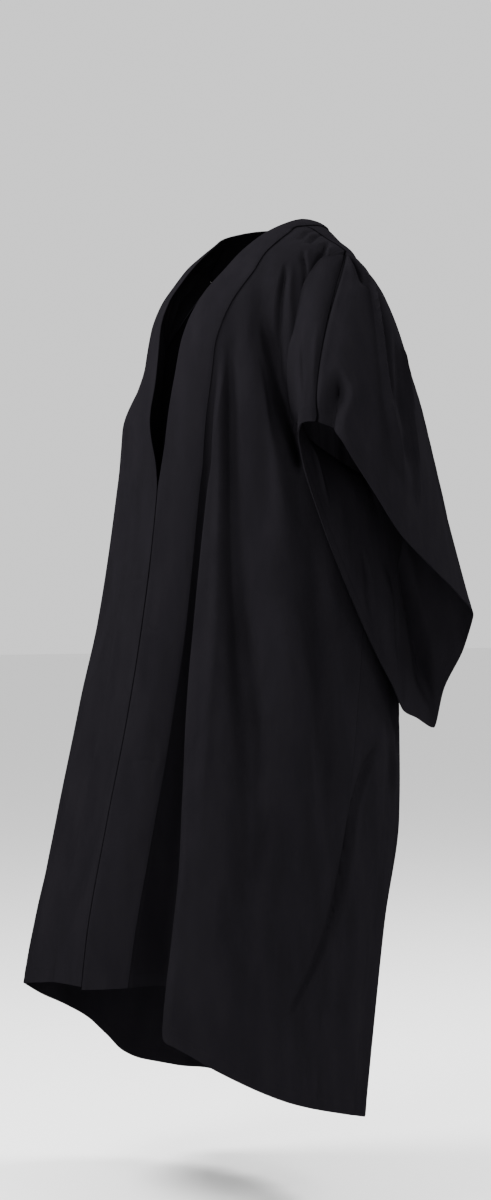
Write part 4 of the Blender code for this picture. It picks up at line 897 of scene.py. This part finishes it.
# ---------------------------------------------------------------- the material
def woven_black(name, twist=0.0, hem=True):
    """Matt black woven polyester: weave, slubs, soft creasing, painted shade
    along the sewn edges, a hem's stitches; a little satin in its sheen."""
    material = bpy.data.materials.new(name)
    material.use_nodes = True
    tree = material.node_tree
    nodes, links = tree.nodes, tree.links
    shader = nodes["Principled BSDF"]

    def node(kind, **settings):
        made = nodes.new(kind)
        for key, value in settings.items():
            setattr(made, key, value)
        return made

    def math_node(operation, a, b=None, clamp=False):
        made = node("ShaderNodeMath", operation=operation, use_clamp=clamp)
        for place, value in enumerate((a, b)):
            if value is None:
                continue
            if isinstance(value, (int, float)):
                made.inputs[place].default_value = value
            else:
                links.new(value, made.inputs[place])
        return made.outputs[0]

    cloth = node("ShaderNodeUVMap", uv_map="cloth")
    place = node("ShaderNodeTexCoord")
    split = node("ShaderNodeSeparateXYZ")
    links.new(cloth.outputs["UV"], split.inputs[0])
    u, v = split.outputs[0], split.outputs[1]
    # weave: warp and weft ribs, one over the other
    pitch = 2 * math.pi / 0.00085
    warp = math_node("SINE", math_node("MULTIPLY", u, pitch))
    weft = math_node("SINE", math_node("MULTIPLY", v, pitch * 0.9))
    weave = math_node("MULTIPLY", warp, weft)
    slub = node("ShaderNodeTexNoise")
    slub.inputs["Scale"].default_value = 1.0
    slub.inputs["Detail"].default_value = 3.0
    stretch = node("ShaderNodeMapping")
    stretch.inputs["Scale"].default_value = (900.0, 60.0, 1.0)
    links.new(cloth.outputs["UV"], stretch.inputs["Vector"])
    links.new(stretch.outputs[0], slub.inputs["Vector"])
    slub_2 = node("ShaderNodeTexNoise")
    slub_2.inputs["Scale"].default_value = 1.0
    slub_2.inputs["Detail"].default_value = 3.0
    stretch_2 = node("ShaderNodeMapping")
    stretch_2.inputs["Scale"].default_value = (60.0, 900.0, 1.0)
    links.new(cloth.outputs["UV"], stretch_2.inputs["Vector"])
    links.new(stretch_2.outputs[0], slub_2.inputs["Vector"])
    threads = math_node("ADD", slub.outputs["Fac"], slub_2.outputs["Fac"])
    # soft creasing left by folding and wear
    rumple = node("ShaderNodeTexNoise")
    rumple.inputs["Scale"].default_value = 1.0
    rumple.inputs["Detail"].default_value = 4.0
    rumple.inputs["Roughness"].default_value = 0.55
    run = node("ShaderNodeMapping")
    run.inputs["Scale"].default_value = (34.0, 34.0, 9.0)
    run.inputs["Rotation"].default_value = (0.0, math.radians(twist), 0.0)
    links.new(place.outputs["Object"], run.inputs["Vector"])
    links.new(run.outputs[0], rumple.inputs["Vector"])
    pucker = node("ShaderNodeTexNoise")
    pucker.inputs["Scale"].default_value = 1.0
    pucker.inputs["Detail"].default_value = 3.0
    near = node("ShaderNodeMapping")
    near.inputs["Scale"].default_value = (120.0, 120.0, 70.0)
    links.new(place.outputs["Object"], near.inputs["Vector"])
    links.new(near.outputs[0], pucker.inputs["Vector"])
    # colour: black with a faint warm cast, a little uneven, a little worn
    ramp = node("ShaderNodeValToRGB")
    ramp.color_ramp.elements[0].position = 0.30
    ramp.color_ramp.elements[0].color = (0.0038, 0.0035, 0.0043, 1.0)
    ramp.color_ramp.elements[1].position = 0.75
    ramp.color_ramp.elements[1].color = (0.0060, 0.0055, 0.0067, 1.0)
    mixed = math_node("ADD", math_node("MULTIPLY", rumple.outputs["Fac"], 0.55),
                      math_node("MULTIPLY", threads, 0.23))
    links.new(mixed, ramp.inputs["Fac"])
    # painted shade: the colour darkens to 0.22 of itself at a sewn edge and comes back within 3 mm, standing in for
    # the shade that falls into the seam
    sewn = node("ShaderNodeUVMap", uv_map="sewn")
    edge = node("ShaderNodeSeparateXYZ")
    links.new(sewn.outputs["UV"], edge.inputs[0])
    painted_seam_shade = node("ShaderNodeMapRange", interpolation_type="SMOOTHSTEP")
    painted_seam_shade.inputs["From Min"].default_value = 0.0006
    painted_seam_shade.inputs["From Max"].default_value = 0.0030
    painted_seam_shade.inputs["To Min"].default_value = 0.22
    painted_seam_shade.inputs["To Max"].default_value = 1.0
    links.new(edge.outputs[0], painted_seam_shade.inputs["Value"])
    # the painted seam shade is multiplied into the base colour
    darker = node("ShaderNodeVectorMath", operation="SCALE")
    links.new(ramp.outputs["Color"], darker.inputs[0])
    links.new(painted_seam_shade.outputs["Result"], darker.inputs["Scale"])
    links.new(darker.outputs[0], shader.inputs["Base Color"])
    rough = node("ShaderNodeMapRange")
    rough.inputs["To Min"].default_value = 0.52
    rough.inputs["To Max"].default_value = 0.68
    links.new(pucker.outputs["Fac"], rough.inputs["Value"])
    links.new(rough.outputs["Result"], shader.inputs["Roughness"])
    shader.inputs["Metallic"].default_value = 0.0
    shader.inputs["IOR"].default_value = 1.45
    shader.inputs["Specular IOR Level"].default_value = 0.0
    shader.inputs["Sheen Weight"].default_value = 0.001
    shader.inputs["Sheen Roughness"].default_value = 0.45
    shader.inputs["Sheen Tint"].default_value = (0.75, 0.72, 0.78, 1.0)
    # bumps, coarse to fine
    bump = node("ShaderNodeBump")
    bump.inputs["Strength"].default_value = 0.55
    bump.inputs["Distance"].default_value = 0.0022
    links.new(rumple.outputs["Fac"], bump.inputs["Height"])
    bump_2 = node("ShaderNodeBump")
    bump_2.inputs["Strength"].default_value = 0.35
    bump_2.inputs["Distance"].default_value = 0.0005
    links.new(pucker.outputs["Fac"], bump_2.inputs["Height"])
    links.new(bump.outputs["Normal"], bump_2.inputs["Normal"])
    bump_3 = node("ShaderNodeBump")
    bump_3.inputs["Strength"].default_value = 0.30
    bump_3.inputs["Distance"].default_value = 0.00012
    links.new(math_node("ADD", weave, threads), bump_3.inputs["Height"])
    links.new(bump_2.outputs["Normal"], bump_3.inputs["Normal"])
    last = bump_3
    if hem:
        # a row of stitches along the top of the turned-up hem
        trim = node("ShaderNodeUVMap", uv_map="trim")
        parts = node("ShaderNodeSeparateXYZ")
        links.new(trim.outputs["UV"], parts.inputs[0])
        dash = math_node("SINE", math_node("MULTIPLY", parts.outputs[0], 2 * math.pi / 0.0032))
        dash = math_node("GREATER_THAN", dash, -0.35)
        off = math_node("ABSOLUTE", math_node("SUBTRACT", parts.outputs[1], HEM_DEPTH - 0.003))
        line = math_node("LESS_THAN", off, 0.00045)
        stitch = math_node("MULTIPLY", dash, line)
        bump_4 = node("ShaderNodeBump")
        bump_4.inputs["Strength"].default_value = 0.7
        bump_4.inputs["Distance"].default_value = 0.0004
        links.new(stitch, bump_4.inputs["Height"])
        links.new(last.outputs["Normal"], bump_4.inputs["Normal"])
        last = bump_4
    links.new(last.outputs["Normal"], shader.inputs["Normal"])
    return material


# ---------------------------------------------------------------- the scene
def dress(piece, nodes):
    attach(piece, "root")
    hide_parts(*nodes)


# Which edges of each piece are sewn: first column, last column, top row.
SEWN = {"front": (False, False, True), "back": (False, False, True),
        "sleeve": (True, True, False), "yoke": (False, True, False),
        "band": (False, False, False)}


def make_gown():
    made = {}
    for side in ("left", "right"):
        points, normal = fine_form(*fine_front(side))
        normal = grid_normal(points, normal)
        made["front_" + side] = (points, normal, hem_thick(points, PLY), trim_of(points), True)
        angle, drop = fine_band(side)
        points, guide = fine_form(angle, drop)
        normal = grid_normal(points, guide)
        raised = points + normal * BAND_RAISE
        u, _v = lengths(raised)
        wide = u[:, -1:]
        edge = np.minimum(u, wide - u)
        # pressed edges are a little thinner and roll over
        thick = BAND_PLY * (0.45 + 0.55 * ease(edge / 0.003))
        _u, v = lengths(raised)
        trim = np.stack([_u, v], axis=-1)
        made["band_" + side] = (raised, normal, thick, trim, False)
    points, normal = fine_form(*fine_back())
    normal = grid_normal(points, normal)
    made["back"] = (points, normal, hem_thick(points, PLY), trim_of(points), True)
    angle, drop = fine_yoke()
    points, guide = fine_form(angle, drop)
    normal = grid_normal(points, guide)
    made["yoke"] = (points, normal, np.full(points.shape[:2], 1.5 * PLY), None, False)
    for side in ("left", "right"):
        turns, falls, points, normal = fine_sleeve(side)
        points = points + normal * sleeve_folds(turns, falls, points, side)[..., None]
        normal = grid_normal(points, normal)
        made["sleeve_" + side] = (points, normal, hem_thick(points, PLY), trim_of(points), True)
    for k, (name, (points, normal, thick, trim, hem)) in enumerate(sorted(made.items())):
        material = woven_black("cloth_" + name, twist=7.0 * (k - 3), hem=hem)
        first, last, top = SEWN[name.split("_")[0]]
        piece = shell("cloth_" + name, points, normal, thick, material, trim,
                      sewn_edges(points, first, last, top))
        dress(piece, [name])


def light_and_floor():
    scene = bpy.context.scene
    world = bpy.data.worlds.new("studio")
    scene.world = world
    world.use_nodes = True
    world.node_tree.nodes["Background"].inputs["Color"].default_value = (1.0, 1.0, 1.0, 1.0)
    world.node_tree.nodes["Background"].inputs["Strength"].default_value = 1.1
    floor = bpy.data.meshes.new("floor")
    size, z = 30.0, FLOOR_Z
    floor.from_pydata([(-size, -size, z), (size, -size, z), (size, size, z), (-size, size, z)],
                      [], [(0, 1, 2, 3)])
    thing = bpy.data.objects.new("floor", floor)
    scene.collection.objects.link(thing)
    pale = bpy.data.materials.new("floor_pale")
    pale.use_nodes = True
    shader = pale.node_tree.nodes["Principled BSDF"]
    shader.inputs["Base Color"].default_value = (0.86, 0.86, 0.86, 1.0)
    shader.inputs["Roughness"].default_value = 0.9
    shader.inputs["Specular IOR Level"].default_value = 0.1
    floor.materials.append(pale)
    for name, place, aim, size, power in LIGHTS:
        data = bpy.data.lights.new(name, "AREA")
        data.shape = "DISK"
        data.size = size
        data.energy = power
        lamp = bpy.data.objects.new(name, data)
        lamp.location = place
        direction = Vector(aim) - Vector(place)
        lamp.rotation_euler = direction.to_track_quat("-Z", "Y").to_euler()
        scene.collection.objects.link(lamp)


FLOOR_Z = -1.47
LIGHTS = (
    # name, place, aim, size, power
    ("key", (-0.9, -1.4, 0.75), (0.0, -0.1, -0.15), 0.8, 121.0),
    ("near", (0.3, -1.7, 0.9), (0.05, -0.1, -0.15), 0.9, 62.0),
    ("side", (2.2, 0.4, 1.4), (0.2, 0.0, -0.3), 1.2, 40.0),
    ("low", (2.4, -1.5, -0.4), (0.1, 0.0, -0.7), 1.4, 40.0),
    ("back", (0.6, 2.4, 1.5), (0.1, 0.1, -0.4), 1.2, 206.0),
)


def camera():
    data = bpy.data.cameras.new("camera")
    data.sensor_fit = "VERTICAL"
    data.sensor_height = 36.0
    data.lens = 36.0 * 2237.0 / 1200.0
    data.clip_start, data.clip_end = 0.05, 100.0
    thing = bpy.data.objects.new("camera", data)
    bpy.context.scene.collection.objects.link(thing)
    azimuth = math.radians(58.0)
    back = Vector((math.sin(azimuth), -math.cos(azimuth), 0.0))
    right = Vector((math.cos(azimuth), math.sin(azimuth), 0.0))
    thing.location = back * 3.4 - right * 0.038 + Vector((0.0, 0.0, -0.58))
    thing.rotation_mode = "QUATERNION"
    thing.rotation_quaternion = (-back).to_track_quat("-Z", "Y")
    bpy.context.scene.camera = thing


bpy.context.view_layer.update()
camera()
light_and_floor()
make_gown()
